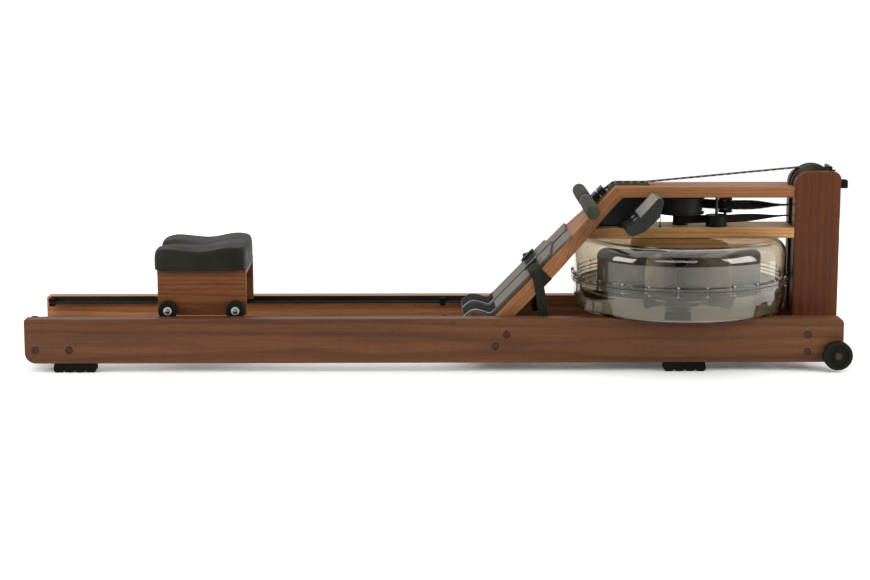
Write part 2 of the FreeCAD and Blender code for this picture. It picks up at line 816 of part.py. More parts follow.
def shock_cord():
    """Elastic cord from the recoil strap, round the floor pulley and back under the tank."""
    centre = Vector(FLOOR_PULLEY[0], 0, FLOOR_PULLEY[1])
    elbow = centre + Vector(CORD_BEND, 0, 0)
    start = Vector(elbow.x, 0, 152)
    lowest = centre + Vector(0, 0, -CORD_BEND)
    middle = centre + Vector(math.cos(math.pi / 4), 0, -math.sin(math.pi / 4)) * CORD_BEND
    path = Part.Wire(
        [
            Part.makeLine(start, elbow),
            Part.Arc(elbow, middle, lowest).toShape(),
            Part.makeLine(lowest, Vector(166, 0, CORD_LOW)),
        ]
    )
    section = Part.Wire(Part.makeCircle(CORD_R, start, Vector(0, 0, -1)))
    return path.makePipeShell([section], True, False)


def handle_centre():
    return at_slope(HANDLE_S, HANDLE_N)


def handle_bar():
    c = handle_centre()
    return rod(BAR_R, (c.x, -HANDLE_HALF + 10, c.z), (c.x, HANDLE_HALF - 10, c.z))


def right_grip():
    """Foam grip, closed at its outer end."""
    c = handle_centre()
    corners = [
        (BAR_R + 0.05, -24, 0),
        (GRIP_R, -24, 2),
        (GRIP_R, -HANDLE_HALF, 9),
        (0, -HANDLE_HALF, 0),
        (0, -HANDLE_HALF + 8, 0),
        (BAR_R + 0.05, -HANDLE_HALF + 8, 0),
    ]
    return wheel_y(c.x, 0, c.z, corners)


def handle_yoke():
    """Clamp round the bar, with two ribbed blocks that hold the strap."""
    c = handle_centre()
    ring = rod(BAR_R + 6, (c.x, -21, c.z), (c.x, 21, c.z))
    neck = slope_board(HANDLE_S + 6, HANDLE_S + YOKE_LONG, HANDLE_N - 13, HANDLE_N - 5, 19)
    blocks = []
    for start in (17, 38):
        base = slope_board(HANDLE_S + start, HANDLE_S + start + 18, HANDLE_N - 18, HANDLE_N, 22)
        for i in range(4):
            s = HANDLE_S + start + 1.5 + i * 4.2
            base = base.cut(slope_board(s, s + 2.0, HANDLE_N - 1.6, HANDLE_N + 1, 23))
        blocks.append(base)
    body = ring.fuse([neck] + blocks)
    return body.cut(rod(BAR_R + 0.05, (c.x, -22, c.z), (c.x, 22, c.z))).removeSplitter()


def display_point(along, off):
    """Point on the display's section: along its face, and behind it."""
    angle = math.radians(DISPLAY_DEG)
    x, z = DISPLAY_PIVOT
    return (
        x + along * math.cos(angle) - off * math.sin(angle),
        z + along * math.sin(angle) + off * math.cos(angle),
    )


def display_body():
    """Display case: a wedge that swells into a round knuckle at the pivot."""
    profile = [
        (-14, 12, 8),
        (8, 2, 6),
        (108, 2, 5),
        (110, -12, 8),
        (70, -34, 30),
        (20, -30, 20),
        (-14, -14, 12),
    ]
    corners = []
    for along, off, radius in profile:
        x, z = display_point(along, off)
        corners.append((x, z, radius))
    case = slab(corners, *DISPLAY_Y)
    case = softened(case, 2.0, lambda e: abs(e.BoundBox.YLength) < 1e-6)
    x, z = DISPLAY_PIVOT
    pin = rod(DISPLAY_PIN_R + 0.06, (x, -120, z), (x, 0, z))
    pockets = [display_disc(y, BUTTON_R + 0.4, -1.0, 3.5) for y in BUTTON_Y]
    return case.cut(pockets + [pin])


def display_disc(y, radius, low, height):
    """Short cylinder square to the display's face, at the buttons' height."""
    angle = math.radians(DISPLAY_DEG)
    out = Vector(-math.sin(angle), 0, math.cos(angle))
    x, z = display_point(BUTTON_ALONG, low)
    return Part.makeCylinder(radius, height, Vector(x, y, z), out)


def display_plate(along0, along1, off0, off1, y0, y1):
    places = ((along0, off0), (along1, off0), (along1, off1), (along0, off1))
    points = [display_point(along, off) for along, off in places]
    return slab([(x, z, 0) for x, z in points], y0, y1)


def display_screen():
    return display_plate(38, 103, 2.0, 3.4, DISPLAY_Y[0] + 5, DISPLAY_Y[1] - 5)


def display_button(y):
    """Round push button below the screen, standing in its pocket."""
    return display_disc(y, BUTTON_R, 0.6, 3.6)


def display_arm():
    """Bracket on the deck that carries the display's pivot pin."""
    x, z = DISPLAY_PIVOT
    foot = box(x - 16, x + 16, -58, -34, DECK_TOP, DECK_TOP + 6)
    cheek = box(x - 10, x + 10, -58, -46, DECK_TOP, z)
    eye = rod(10, (x, -58, z), (x, -46, z))
    pin = rod(DISPLAY_PIN_R, (x, -118, z), (x, -46, z))
    return foot.fuse([cheek, eye, pin]).removeSplitter()


def mechanism_cover():
    """Dark panel box behind the footboard, between the deck and the top board."""
    start = at_slope(0, -FOOTBOARD_THICK - 0.5)
    low_x = start.x + (DECK_TOP - start.z) / math.tan(SLOPE) + 3
    high_x = start.x + (TOP_BOARD_BOTTOM - start.z) / math.tan(SLOPE) + 3
    corners = [
        (low_x, DECK_TOP, 0),
        (low_x + 128, DECK_TOP, 0),
        (high_x + 72, TOP_BOARD_BOTTOM, 0),
        (high_x, TOP_BOARD_BOTTOM, 0),
    ]
    outer = slab(corners, -30, 30)
    return outer


def foot_plate():
    """Fixed plate that the heel slide runs on."""
    face = outline(
        [(-2, -118, 3), (286, -118, 3), (280, -12, 3), (-2, -12, 3)],
        lambda s, y: at_slope(s, 0, y),
    )
    return face.extrude(OFF_SLOPE * 6)


def heel_slide():
    """Sliding plate with a heel rest bent back from its lower end."""
    low = 6.4
    thick = 5.6
    face = outline(
        [(-4, -120, 0), (214, -120, 4), (232, -10, 4), (-4, -10, 0)],
        lambda s, y: at_slope(s, low, y),
    )
    plate = face.extrude(OFF_SLOPE * thick)
    inner = at_slope(-4, low + thick)
    outer = at_slope(-4, low)
    rest = slab(
        [
            (outer.x, outer.z, 0),
            (inner.x, inner.z, 0),
            (84, 150, 14),
            (60, 128, 3),
            (64, 123, 3),
            (87, 143.5, 9),
        ],
        -120,
        -10,
    )
    return plate.fuse(rest).removeSplitter()


def strap_strip(s0, s1, route, thickness):
    """Strap across the slope: (y, n) points joined by straight runs."""
    pieces = []
    for (y0, n0), (y1, n1) in zip(route[:-1], route[1:]):
        a = at_slope(s0, n0, y0)
        b = at_slope(s0, n1, y1)
        along = (b - a).normalize()
        side = along.cross(UP_SLOPE) * (thickness / 2)
        reach = along * (thickness / 2)
        corners = [a + side - reach, b + side + reach, b - side + reach, a - side - reach]
        face = Part.Face(Part.makePolygon(corners + corners[:1]))
        pieces.append(face.extrude(UP_SLOPE * (s1 - s0)))
    return pieces[0].fuse(pieces[1:]).removeSplitter()


def foot_strap():
    """Webbing loop over the foot plate and round half of the footboard, with its hanging end."""
    s0, s1 = STRAP_S
    inner_y = -5.5
    outer_y = -RAIL_IN - 1.2
    under = -FOOTBOARD_THICK - 1.5
    over = [(inner_y, 15), (-30, 18), (-104, 18), (-128, 14), (outer_y, 3)]
    route = [(inner_y, under)] + over + [(outer_y, under), (inner_y, under)]
    loop = strap_strip(s0, s1, route, STRAP_THICK)
    return [loop] + foot_strap_tail()


def foot_strap_tail():
    """Loose end that hangs outside the board's edge and then inside the rail."""
    half = 12.5
    thick = 1.6
    path = [(244, -152.9, 243), (256, -152.9, 206), (263, -146, 170), (268, -146, 95)]
    pieces = []
    for start, end in zip(path[:-1], path[1:]):
        a = Vector(*start)
        b = Vector(*end)
        along = (b - a).normalize()
        across = Vector(1, 0, 0)
        across = (across - along * across.dot(along)).normalize()
        off = along.cross(across) * (thick / 2)
        reach = along * (thick / 2)
        corners = [a - reach - off, b + reach - off, b + reach + off, a - reach + off]
        face = Part.Face(Part.makePolygon([c - across * half for c in corners + corners[:1]]))
        pieces.append(face.extrude(across * (2 * half)))
    return [pieces[0].fuse(pieces[1:]).removeSplitter()]


def strap_buckle():
    """Ladder-lock buckle on a foot strap."""
    s0 = STRAP_S[0] - 4
    s1 = STRAP_S[1] + 4
    body = slope_board(s0, s1, 19.6, 25.6, 14)
    body = softened(body, 1.5, lambda e: True)
    body.translate(Vector(0, -70, 0))
    return body


def seat_pad():
    """Moulded pad with a dished top and a tailbone notch at the rear."""
    half = SEAT_PAD_LONG / 2
    z0, z1 = SEAT_PAD_Z
    corners = [
        (SEAT_X - half, z0, 12),
        (SEAT_X + half, z0, 12),
        (SEAT_X + half, z1, 24),
        (SEAT_X, z1 - 8, 120),
        (SEAT_X - half, z1, 24),
    ]
    pad = slab(corners, -SEAT_PAD_HALF, SEAT_PAD_HALF)
    notch_x = SEAT_X - half - 33
    return pad.cut(rod(55, (notch_x, 0, z0 - 1), (notch_x, 0, z1 + 1)))


def seat_board():
    half = SEAT_LONG / 2
    z1 = SEAT_PAD_Z[0]
    return box(SEAT_X - half, SEAT_X + half, -PANEL_OUT, PANEL_OUT, z1 - SEAT_BOARD_THICK, z1)


def seat_panel():
    half = SEAT_LONG / 2
    z1 = SEAT_PAD_Z[0] - SEAT_BOARD_THICK
    panel = box(SEAT_X - half, SEAT_X + half, -PANEL_OUT, -PANEL_OUT + PANEL_THICK, PANEL_BOTTOM, z1)
    panel = softened(panel, 2, lambda e: e.BoundBox.ZMin < PANEL_BOTTOM + 1)
    for x, z in seat_wheel_places():
        panel = panel.cut(rod(BOLT_R + 0.1, (x, -PANEL_OUT - 1, z), (x, -80, z)))
    return panel


def seat_wheel_places():
    z = LEDGE_TOP + 0.3 + SEAT_WHEEL_R
    return [(SEAT_X - SEAT_WHEEL_REACH, z), (SEAT_X + SEAT_WHEEL_REACH, z)]


def seat_wheel(x, z):
    near, far = SEAT_WHEEL_Y
    corners = [
        (BOLT_R + 0.06, -far, 0),
        (11, -far, 0),
        (12, -far + 1.5, 0),
        (19, -far + 1.5, 0),
        (20, -far, 0),
        (SEAT_WHEEL_R, -far, 3),
        (SEAT_WHEEL_R, -near, 3),
        (BOLT_R + 0.06, -near, 0),
    ]
    return wheel_y(x, 0, z, corners)


def seat_wheel_bolt(x, z):
    near, far = SEAT_WHEEL_Y
    shank = rod(BOLT_R, (x, -far - 0.4, z), (x, -96, z))
    washer = rod(10.5, (x, -far - 2.0, z), (x, -far - 0.4, z))
    head = rod(6.5, (x, -far - 5.0, z), (x, -far - 2.0, z))
    key = rod(2.5, (x, -far - 6.0, z), (x, -far - 3.4, z))
    spacer = rod(7, (x, -near + 0.4, z), (x, -PANEL_OUT, z))
    nut = rod(7, (x, -PANEL_OUT + PANEL_THICK, z), (x, -98, z))
    return shank.fuse([washer, head, spacer, nut]).cut(key).removeSplitter()


def carry_wheel():
    near, far = CARRY_Y
    corners = [
        (CARRY_AXLE_R + 0.08, -far + 2, 0),
        (13, -far + 2, 0),
        (15, -far + 6, 2),
        (26, -far + 6, 2),
        (28, -far, 2),
        (CARRY_R, -far, 4),
        (CARRY_R, -near, 4),
        (28, -near, 0),
        (26, -near + -3, 0),
        (15, -near + -3, 0),
        (13, -near, 0),
        (CARRY_AXLE_R + 0.08, -near, 0),
    ]
    return wheel_y(CARRY_X, 0, CARRY_Z, corners)


def carry_axle():
    near, far = CARRY_Y
    shank = rod(CARRY_AXLE_R, (CARRY_X, -far + 1.4, CARRY_Z), (CARRY_X, -RAIL_IN + 6, CARRY_Z))
    cap = rod(8.5, (CARRY_X, -far - 0.6, CARRY_Z), (CARRY_X, -far + 1.4, CARRY_Z))
    nut = rod(9.5, (CARRY_X, -RAIL_IN, CARRY_Z), (CARRY_X, -RAIL_IN + 6, CARRY_Z))
    return shank.fuse([cap, nut]).removeSplitter()


def tank_base():
    """Board between the rails that carries the middle of the tank."""
    return box(TANK_X - 60, TANK_X + 60, -RAIL_IN + BOARD_GAP, RAIL_IN - BOARD_GAP, RAIL_TOP - 20, RAIL_TOP)


# Frame
save("right_rail", right_rail())
save("left_rail", mirrored(right_rail()))
track = right_track()
save("seat_tracks", *track, *[mirrored(piece) for piece in track])
stops = seat_stop(SEAT_STOP_X[0]) + seat_stop(SEAT_STOP_X[1])
bumpers = stops + [mirrored(stop) for stop in stops]
save("rubber_bumpers", *bumpers, *both_sides(post_bumper()))
save("rubber_feet", *both_sides(rail_foot(-931)), *both_sides(rail_foot(627)))
save("rear_spreader", rear_spreader())
save("middle_spreader", middle_spreader())
save("front_cross_board", front_cross_board())
bolts = [rail_bolt(x, z) for x, z in rail_bolt_points()]
save("rail_bolts", *bolts, *[mirrored(bolt) for bolt in bolts])
save("footboard", footboard())
save("top_board", top_board())
save("tank_deck", tank_deck())
save("tank_base", tank_base())
save("posts", *both_sides(right_post()))
save("right_transport_wheel", carry_wheel())
save("left_transport_wheel", mirrored(carry_wheel()))
save("transport_axles", *both_sides(carry_axle()))

# Tank and paddle
save("tank_lower_shell", lower_shell())
save("tank_upper_shell", upper_shell())
save("tank_seal", tank_seal())
save("tank_screws", *[tank_screw(x, y) for x, y in screw_places()])
save("fill_plug", fill_plug())
save("shaft_bearings", *shaft_bearings())
save("paddle_shaft", paddle_shaft())
save("paddle_hub", paddle_hub())
save("paddle_blades", *paddle_blades())

# Strap drive and recoil
save("drive_drum", strap_drum(DRUM_R, *DRUM_Z, 4.0), strap_drum(SPOOL_R, *SPOOL_Z, 2.0))
save("upper_guide_roller", guide_roller(UPPER_ROLLER, 382.5, 426.0))
save("lower_guide_roller", guide_roller(LOWER_ROLLER, 354.0, 382.0))
save("top_pulley", pulley(TOP_PULLEY, 38, TOP_FLANGE, 27))
save("lower_pulley", pulley(LOWER_PULLEY, 36, 4.0, 24))
save("floor_pulley", pulley(FLOOR_PULLEY, 24, 5.0, 11))
axles = [pulley_axle(place) for place in (TOP_PULLEY, LOWER_PULLEY, FLOOR_PULLEY)]
guides = [guide_bolt(place) for place in (UPPER_ROLLER, LOWER_ROLLER)]
save("mechanism_bolts", *axles, *guides, cord_ferrule())
save("drive_strap", *drive_strap())
save("recoil_strap", *recoil_strap())
save("shock_cord", shock_cord())
save("strap_guard", strap_guard())
save("strap_skid", strap_skid())
save("mechanism_cover", mechanism_cover())

# Handle
save("handle_bar", handle_bar())
save("handle_grips", *both_sides(right_grip()))
save("handle_yoke", handle_yoke())

# Display
save("display_arm", display_arm())
save("display_body", display_body())
save("display_screen", display_screen())
save("display_button_right", display_button(BUTTON_Y[0]))
save("display_button_left", display_button(BUTTON_Y[1]))

# Foot stretcher
save("foot_plates", *both_sides(foot_plate()))
save("right_heel_slide", heel_slide())
save("left_heel_slide", mirrored(heel_slide()))
straps = foot_strap()
save("foot_straps", *straps, *[mirrored(piece) for piece in straps])
save("strap_buckles", *both_sides(strap_buckle()))

# Seat
save("seat_pad", seat_pad())
save("seat_board", seat_board())
save("seat_panels", *both_sides(seat_panel()))
places = seat_wheel_places()
for end, (x, z) in zip(("rear", "front"), places):
    save("seat_wheel_right_" + end, seat_wheel(x, z))
    save("seat_wheel_left_" + end, mirrored(seat_wheel(x, z)))
seat_bolts = [seat_wheel_bolt(x, z) for x, z in places]
save("seat_wheel_bolts", *seat_bolts, *[mirrored(bolt) for bolt in seat_bolts])
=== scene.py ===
import math

import bmesh
import bpy
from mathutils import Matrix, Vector


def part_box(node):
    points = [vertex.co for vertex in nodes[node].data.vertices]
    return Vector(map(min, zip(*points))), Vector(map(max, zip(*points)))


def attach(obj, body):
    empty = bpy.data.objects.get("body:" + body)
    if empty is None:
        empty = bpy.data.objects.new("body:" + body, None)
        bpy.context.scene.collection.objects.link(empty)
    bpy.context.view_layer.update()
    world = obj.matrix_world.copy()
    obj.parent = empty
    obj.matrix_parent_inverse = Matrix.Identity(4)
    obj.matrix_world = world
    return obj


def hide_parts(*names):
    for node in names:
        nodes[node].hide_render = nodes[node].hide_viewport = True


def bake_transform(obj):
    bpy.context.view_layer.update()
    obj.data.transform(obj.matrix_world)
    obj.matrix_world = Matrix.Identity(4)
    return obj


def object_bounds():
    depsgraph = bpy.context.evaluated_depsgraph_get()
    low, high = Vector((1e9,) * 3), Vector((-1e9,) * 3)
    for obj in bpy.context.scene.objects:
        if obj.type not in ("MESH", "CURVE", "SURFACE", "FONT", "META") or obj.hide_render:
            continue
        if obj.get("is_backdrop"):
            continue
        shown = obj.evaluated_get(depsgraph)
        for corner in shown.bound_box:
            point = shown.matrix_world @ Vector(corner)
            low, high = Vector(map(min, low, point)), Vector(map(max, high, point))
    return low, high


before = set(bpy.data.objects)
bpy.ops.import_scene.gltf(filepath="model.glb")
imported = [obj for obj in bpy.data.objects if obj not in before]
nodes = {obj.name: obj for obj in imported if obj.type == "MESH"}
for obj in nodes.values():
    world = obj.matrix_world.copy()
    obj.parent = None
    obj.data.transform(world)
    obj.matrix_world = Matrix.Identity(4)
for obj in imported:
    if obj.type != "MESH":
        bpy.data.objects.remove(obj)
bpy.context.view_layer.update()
MM = 0.001

# ---------------------------------------------------------------------------
# Studio. A white room with a softbox overhead, one at each end of the machine and a weak fill in front,
# and a long lens at standing height, a little to the rear of the middle of the machine.
scene = bpy.context.scene
scene.view_settings.view_transform = "Standard"

camera_data = bpy.data.cameras.new("camera")
camera_data.lens = 85.0
camera = bpy.data.objects.new("camera", camera_data)
camera.location = (-0.067, -5.322, 1.112)
camera.rotation_euler = (math.radians(80.06), 0, math.radians(-0.61))
scene.collection.objects.link(camera)
scene.camera = camera


def softbox(name, size, place, target, watts):
    data = bpy.data.lights.new(name, "AREA")
    data.shape = "RECTANGLE"
    data.size, data.size_y = size
    data.energy = watts
    lamp = bpy.data.objects.new(name, data)
    lamp.location = place
    lamp.rotation_euler = (Vector(target) - Vector(place)).to_track_quat("-Z", "Y").to_euler()
    scene.collection.objects.link(lamp)


softbox("overhead_softbox", (4.6, 3.0), (0.0, -0.2, 3.0), (0, 0, 0), 64)
softbox("left_softbox", (2.0, 1.8), (-3.3, -1.5, 1.5), (0.0, 0, 0.3), 88)
softbox("right_softbox", (2.0, 1.8), (3.4, -1.4, 1.5), (0.2, 0, 0.3), 94)
softbox("front_fill", (4.0, 1.2), (-0.3, -4.6, 3.0), (0.0, 0, 0.2), 58)


def add_node(material, kind, settings=None, **inputs):
    """A shader node, with its sockets set to values or linked to other nodes' outputs."""
    made = material.node_tree.nodes.new("ShaderNode" + kind)
    for key, value in (settings or {}).items():
        setattr(made, key, value)
    for key, value in inputs.items():
        socket = made.inputs[key.replace("_", " ")]
        if isinstance(value, bpy.types.NodeSocket):
            material.node_tree.links.new(value, socket)
        else:
            socket.default_value = value
    return made


room = bpy.data.worlds.new("studio_room")
scene.world = room
room.use_nodes = True
room_nodes = room.node_tree.nodes
glow = room_nodes["Background"]
glow.inputs["Color"].default_value = (1.0, 0.99, 0.97, 1)
direction = room_nodes.new("ShaderNodeTexCoord")
split = room_nodes.new("ShaderNodeSeparateXYZ")
backdrop = room_nodes.new("ShaderNodeMapRange")
for socket, value in (("From Min", -0.3), ("From Max", 0.5), ("To Min", 0.10), ("To Max", 0.95)):
    backdrop.inputs[socket].default_value = value
room.node_tree.links.new(direction.outputs["Generated"], split.inputs["Vector"])
room.node_tree.links.new(split.outputs["Y"], backdrop.inputs["Value"])
room.node_tree.links.new(backdrop.outputs["Result"], glow.inputs["Strength"])
white = room_nodes.new("ShaderNodeBackground")
white.inputs["Color"].default_value = (1, 1, 1, 1)
white.inputs["Strength"].default_value = 1.05
seen = room_nodes.new("ShaderNodeLightPath")
both = room_nodes.new("ShaderNodeMixShader")
room.node_tree.links.new(seen.outputs["Is Camera Ray"], both.inputs["Fac"])
room.node_tree.links.new(glow.outputs["Background"], both.inputs[1])
room.node_tree.links.new(white.outputs["Background"], both.inputs[2])
room.node_tree.links.new(both.outputs["Shader"], room_nodes["World Output"].inputs["Surface"])


def start_material(name, roughness, **sockets):
    """A new material and its shader, with the shader's constant values set."""
    material = bpy.data.materials.new(name)
    material.use_nodes = True
    shader = material.node_tree.nodes["Principled BSDF"]
    shader.inputs["Roughness"].default_value = roughness
    for socket, value in sockets.items():
        shader.inputs[socket.replace("_", " ")].default_value = value
    return material, shader


def link(material, output, socket):
    material.node_tree.links.new(output, socket)


floor_paint, floor_shader = start_material("floor_paint", 0.6)
floor_shader.inputs["Base Color"].default_value = (0.93, 0.93, 0.925, 1)
floor_shader.inputs["Emission Color"].default_value = (1, 1, 1, 1)
floor_place = add_node(floor_paint, "TexCoord").outputs["Object"]
floor_reach = add_node(floor_paint, "VectorMath", {"operation": "LENGTH"}, Vector=floor_place)
floor_glow = add_node(
    floor_paint, "MapRange", Value=floor_reach.outputs["Value"],
    From_Min=1.0, From_Max=2.6, To_Min=0.07, To_Max=0.8,
)
link(floor_paint, floor_glow.outputs["Result"], floor_shader.inputs["Emission Strength"])
FLOOR_R = 3.1
disc = bmesh.new()
bmesh.ops.create_circle(disc, cap_ends=True, radius=FLOOR_R, segments=96)
floor_mesh = bpy.data.meshes.new("floor")
disc.to_mesh(floor_mesh)
disc.free()
floor_mesh.materials.append(floor_paint)
floor = bpy.data.objects.new("floor", floor_mesh)
scene.collection.objects.link(floor)
floor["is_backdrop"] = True

# ---------------------------------------------------------------------------
# Rails and cross boards. Oiled walnut, planed and sanded with eased edges, bolted together through the
# rails. The grain runs along each board.


def finish_node(name, material):
    """Gives a CAD node its finish, in every material slot it has."""
    mesh = nodes[name].data
    if not mesh.materials:
        mesh.materials.append(material)
    for i in range(len(mesh.materials)):
        mesh.materials[i] = material


def ramp(material, factor, stops):
    """Colour ramp from (position, colour) stops."""
    made = add_node(material, "ValToRGB", Fac=factor)
    elements = made.color_ramp.elements
    while len(elements) < len(stops):
        elements.new(0.5)
    for element, (position, colour) in zip(elements, stops):
        element.position = position
        element.color = (*colour, 1)
    return made.outputs["Color"]


def multiply(material, first, second, amount=1.0):
    made = add_node(material, "MixRGB", {"blend_type": "MULTIPLY"}, Fac=amount, Color1=first, Color2=second)
    return made.outputs["Color"]


def scaled(colour, amount):
    return tuple(min(1.0, c * amount) for c in colour)


def wood(name, grain, colour, contrast=0.3, ring=9.0, pith=(0.03, 0.06), shift=0.0):
    """Oiled hardwood: rings round a pith line, streaks along the grain, open pores, drifts of tone."""
    material, shader = start_material(name, 0.45, Specular_IOR_Level=0.2)
    spin = {"X": (0, 0, 0), "Z": (0, math.pi / 2, 0), "slope": (0, math.radians(46), 0)}[grain]
    place = add_node(material, "TexCoord").outputs["Object"]
    turned = add_node(material, "Mapping", Vector=place, Rotation=spin).outputs["Vector"]
    board = add_node(material, "Mapping", Vector=turned, Location=(shift, *pith)).outputs["Vector"]
    drawn = add_node(material, "Mapping", Vector=board, Scale=(0.10, 1, 1)).outputs["Vector"]
    rings = add_node(
        material, "TexWave", {"wave_type": "RINGS", "rings_direction": "X", "wave_profile": "SAW"},
        Vector=drawn, Scale=314.0 / ring, Distortion=9.0, Detail=4.0, Detail_Scale=0.35, Detail_Roughness=0.5,
    )
    dark, pale = scaled(colour, 1 - contrast), scaled(colour, 1 + contrast * 0.7)
    ring_tones = [(0.0, dark), (0.35, colour), (0.85, pale), (1.0, scaled(colour, 1 - contrast * 0.5))]
    tone = ramp(material, rings.outputs["Fac"], ring_tones)
    streak_space = add_node(material, "Mapping", Vector=board, Scale=(2.2, 75, 75)).outputs["Vector"]
    streaks = add_node(
        material, "TexNoise", Vector=streak_space, Scale=1.0, Detail=4.0, Roughness=0.65
    ).outputs["Fac"]
    streaks_tones = [(0.3, (0.74, 0.71, 0.69)), (0.7, (1.18, 1.16, 1.12))]
    tone = multiply(material, tone, ramp(material, streaks, streaks_tones))
    fibre_space = add_node(material, "Mapping", Vector=board, Scale=(14, 520, 520)).outputs["Vector"]
    fibre = add_node(material, "TexNoise", Vector=fibre_space, Scale=1.0, Detail=2.0).outputs["Fac"]
    fibre_tones = [(0.3, (0.86, 0.85, 0.84)), (0.7, (1.08, 1.08, 1.07))]
    tone = multiply(material, tone, ramp(material, fibre, fibre_tones))
    drift = add_node(material, "TexNoise", Vector=drawn, Scale=7.0, Detail=2.0).outputs["Fac"]
    drift_tones = [(0.3, (0.80, 0.77, 0.74)), (0.7, (1.10, 1.09, 1.07))]
    tone = multiply(material, tone, ramp(material, drift, drift_tones))
    pore_space = add_node(material, "Mapping", Vector=board, Scale=(45, 1500, 1500)).outputs["Vector"]
    pores = add_node(material, "TexNoise", Vector=pore_space, Scale=1.0, Detail=1.0).outputs["Fac"]
    open_pore = ramp(material, pores, [(0.30, (1, 1, 1)), (0.38, (0, 0, 0))])
    tone = add_node(
        material, "MixRGB", {"blend_type": "MULTIPLY"}, Fac=open_pore, Color1=tone, Color2=(0.5, 0.45, 0.4, 1)
    ).outputs["Color"]
    link(material, tone, shader.inputs["Base Color"])
    polish = add_node(
        material, "MapRange", Value=streaks, From_Min=0.3, From_Max=0.7, To_Min=0.40, To_Max=0.56
    )
    link(material, polish.outputs["Result"], shader.inputs["Roughness"])
    pits = add_node(material, "Bump", {"invert": True}, Height=open_pore, Strength=0.25, Distance=0.0004)
    relief = add_node(
        material, "Bump", Height=fibre, Strength=0.12, Distance=0.0004, Normal=pits.outputs["Normal"]
    )
    link(material, relief.outputs["Normal"], shader.inputs["Normal"])
    return material


RAIL_BROWN = (0.102, 0.0395, 0.0150)
finish_node("right_rail", wood("right_rail_walnut", "X", RAIL_BROWN, 0.22, 13, (0.115, -0.07)))
# The left rail's walnut is painted about four times as light as the right rail's: painted light, standing in
# for the light on its inner face.
finish_node("left_rail", wood("left_rail_walnut_painted_light", "X", (0.38, 0.160, 0.064), 0.24, 10, (-0.085, -0.055), 3.7))
cross_walnut = wood("cross_board_walnut", "X", RAIL_BROWN, 0.3, 9, (0.02, 0.3), 1.3)
for name in ("rear_spreader", "middle_spreader", "front_cross_board", "tank_base"):
    finish_node(name, cross_walnut)

# ---------------------------------------------------------------------------
# Seat tracks. Two L-shaped lengths of black extruded plastic that the seat's wheels run on, pressed on
# the rails' inner faces.


def moulded(name, colour, roughness=0.42, grain=0.9, relief=0.12, gloss=0.2, mottle=0.15, **sockets):
    """Moulded plastic or rubber: a fine pebble in mm, faint mottling and patches of handling shine."""
    material, shader = start_material(name, roughness, Specular_IOR_Level=gloss, **sockets)
    place = add_node(material, "TexCoord").outputs["Object"]
    pebble = add_node(material, "TexNoise", Vector=place, Scale=330.0 / grain, Detail=2.0).outputs["Fac"]
    patch = add_node(material, "TexNoise", Vector=place, Scale=16.0, Detail=3.0).outputs["Fac"]
    shade = ramp(material, patch, [(0.35, scaled(colour, 1 - mottle)), (0.65, scaled(colour, 1 + mottle))])
    link(material, shade, shader.inputs["Base Color"])
    rub = add_node(
        material, "MapRange", Value=patch, From_Min=0.3, From_Max=0.7,
        To_Min=roughness - 0.06, To_Max=min(1.0, roughness + 0.07),
    )
    link(material, rub.outputs["Result"], shader.inputs["Roughness"])
    skin = add_node(material, "Bump", Height=pebble, Strength=relief, Distance=0.0003)
    link(material, skin.outputs["Normal"], shader.inputs["Normal"])
    return material


finish_node("seat_tracks", moulded("track_plastic", (0.012, 0.011, 0.007), 0.45, 0.6, 0.06, 0.2))

# ---------------------------------------------------------------------------
# Rubber feet, seat stops and bumpers. Moulded black rubber, dull, with a slight bloom. The feet sit under
# the rails, the stops across the tracks, and the bumpers on the front of the posts.
block_rubber = moulded("block_rubber", (0.006, 0.005, 0.0035), 0.8, 1.2, 0.25, 0.08, 0.3)
finish_node("rubber_feet", block_rubber)
finish_node("rubber_bumpers", block_rubber)

# ---------------------------------------------------------------------------
# Rail bolts. Socket-head bolts in black oxide, sunk in round recesses, that hold each rail to the cross
# boards.


def metal(name, colour, roughness, spread=0.1):
    """Turned or drawn metal with fine scratches."""
    material, shader = start_material(name, roughness, Metallic=1.0)
    place = add_node(material, "TexCoord").outputs["Object"]
    drawn = add_node(material, "Mapping", Vector=place, Scale=(900, 60, 900)).outputs["Vector"]
    lines = add_node(material, "TexNoise", Vector=drawn, Scale=1.0, Detail=3.0).outputs["Fac"]
    shade = ramp(material, lines, [(0.3, scaled(colour, 0.75)), (0.7, colour)])
    link(material, shade, shader.inputs["Base Color"])
    worn = add_node(
        material, "MapRange", Value=lines, From_Min=0.3, From_Max=0.7,
        To_Min=roughness - spread, To_Max=roughness + spread,
    )
    link(material, worn.outputs["Result"], shader.inputs["Roughness"])
    relief = add_node(material, "Bump", Height=lines, Strength=0.08, Distance=0.0002)
    link(material, relief.outputs["Normal"], shader.inputs["Normal"])
    return material


black_oxide = metal("black_oxide", (0.07, 0.045, 0.035), 0.42)
zinc = metal("bright_zinc", (0.50, 0.50, 0.48), 0.34)
finish_node("rail_bolts", black_oxide)

# ---------------------------------------------------------------------------
# Upper frame. Red-brown walnut posts with upright grain, a lighter footboard and top board, and the
# palest board under the mechanism as the tank's deck.
finish_node("posts", wood("post_walnut", "Z", (0.086, 0.0235, 0.0050), 0.20, 18, (0.16, 0.10), 0.9))
finish_node("footboard", wood("footboard_walnut", "slope", (0.235, 0.100, 0.040), 0.24, 9, (0.06, 0.14), 2.2))
finish_node("top_board", wood("top_board_walnut", "X", (0.275, 0.118, 0.045), 0.26, 8, (0.05, -0.50), 5.1))
finish_node("tank_deck", wood("deck_wood", "X", (0.43, 0.235, 0.092), 0.22, 9, (0.08, -0.37), 4.4))

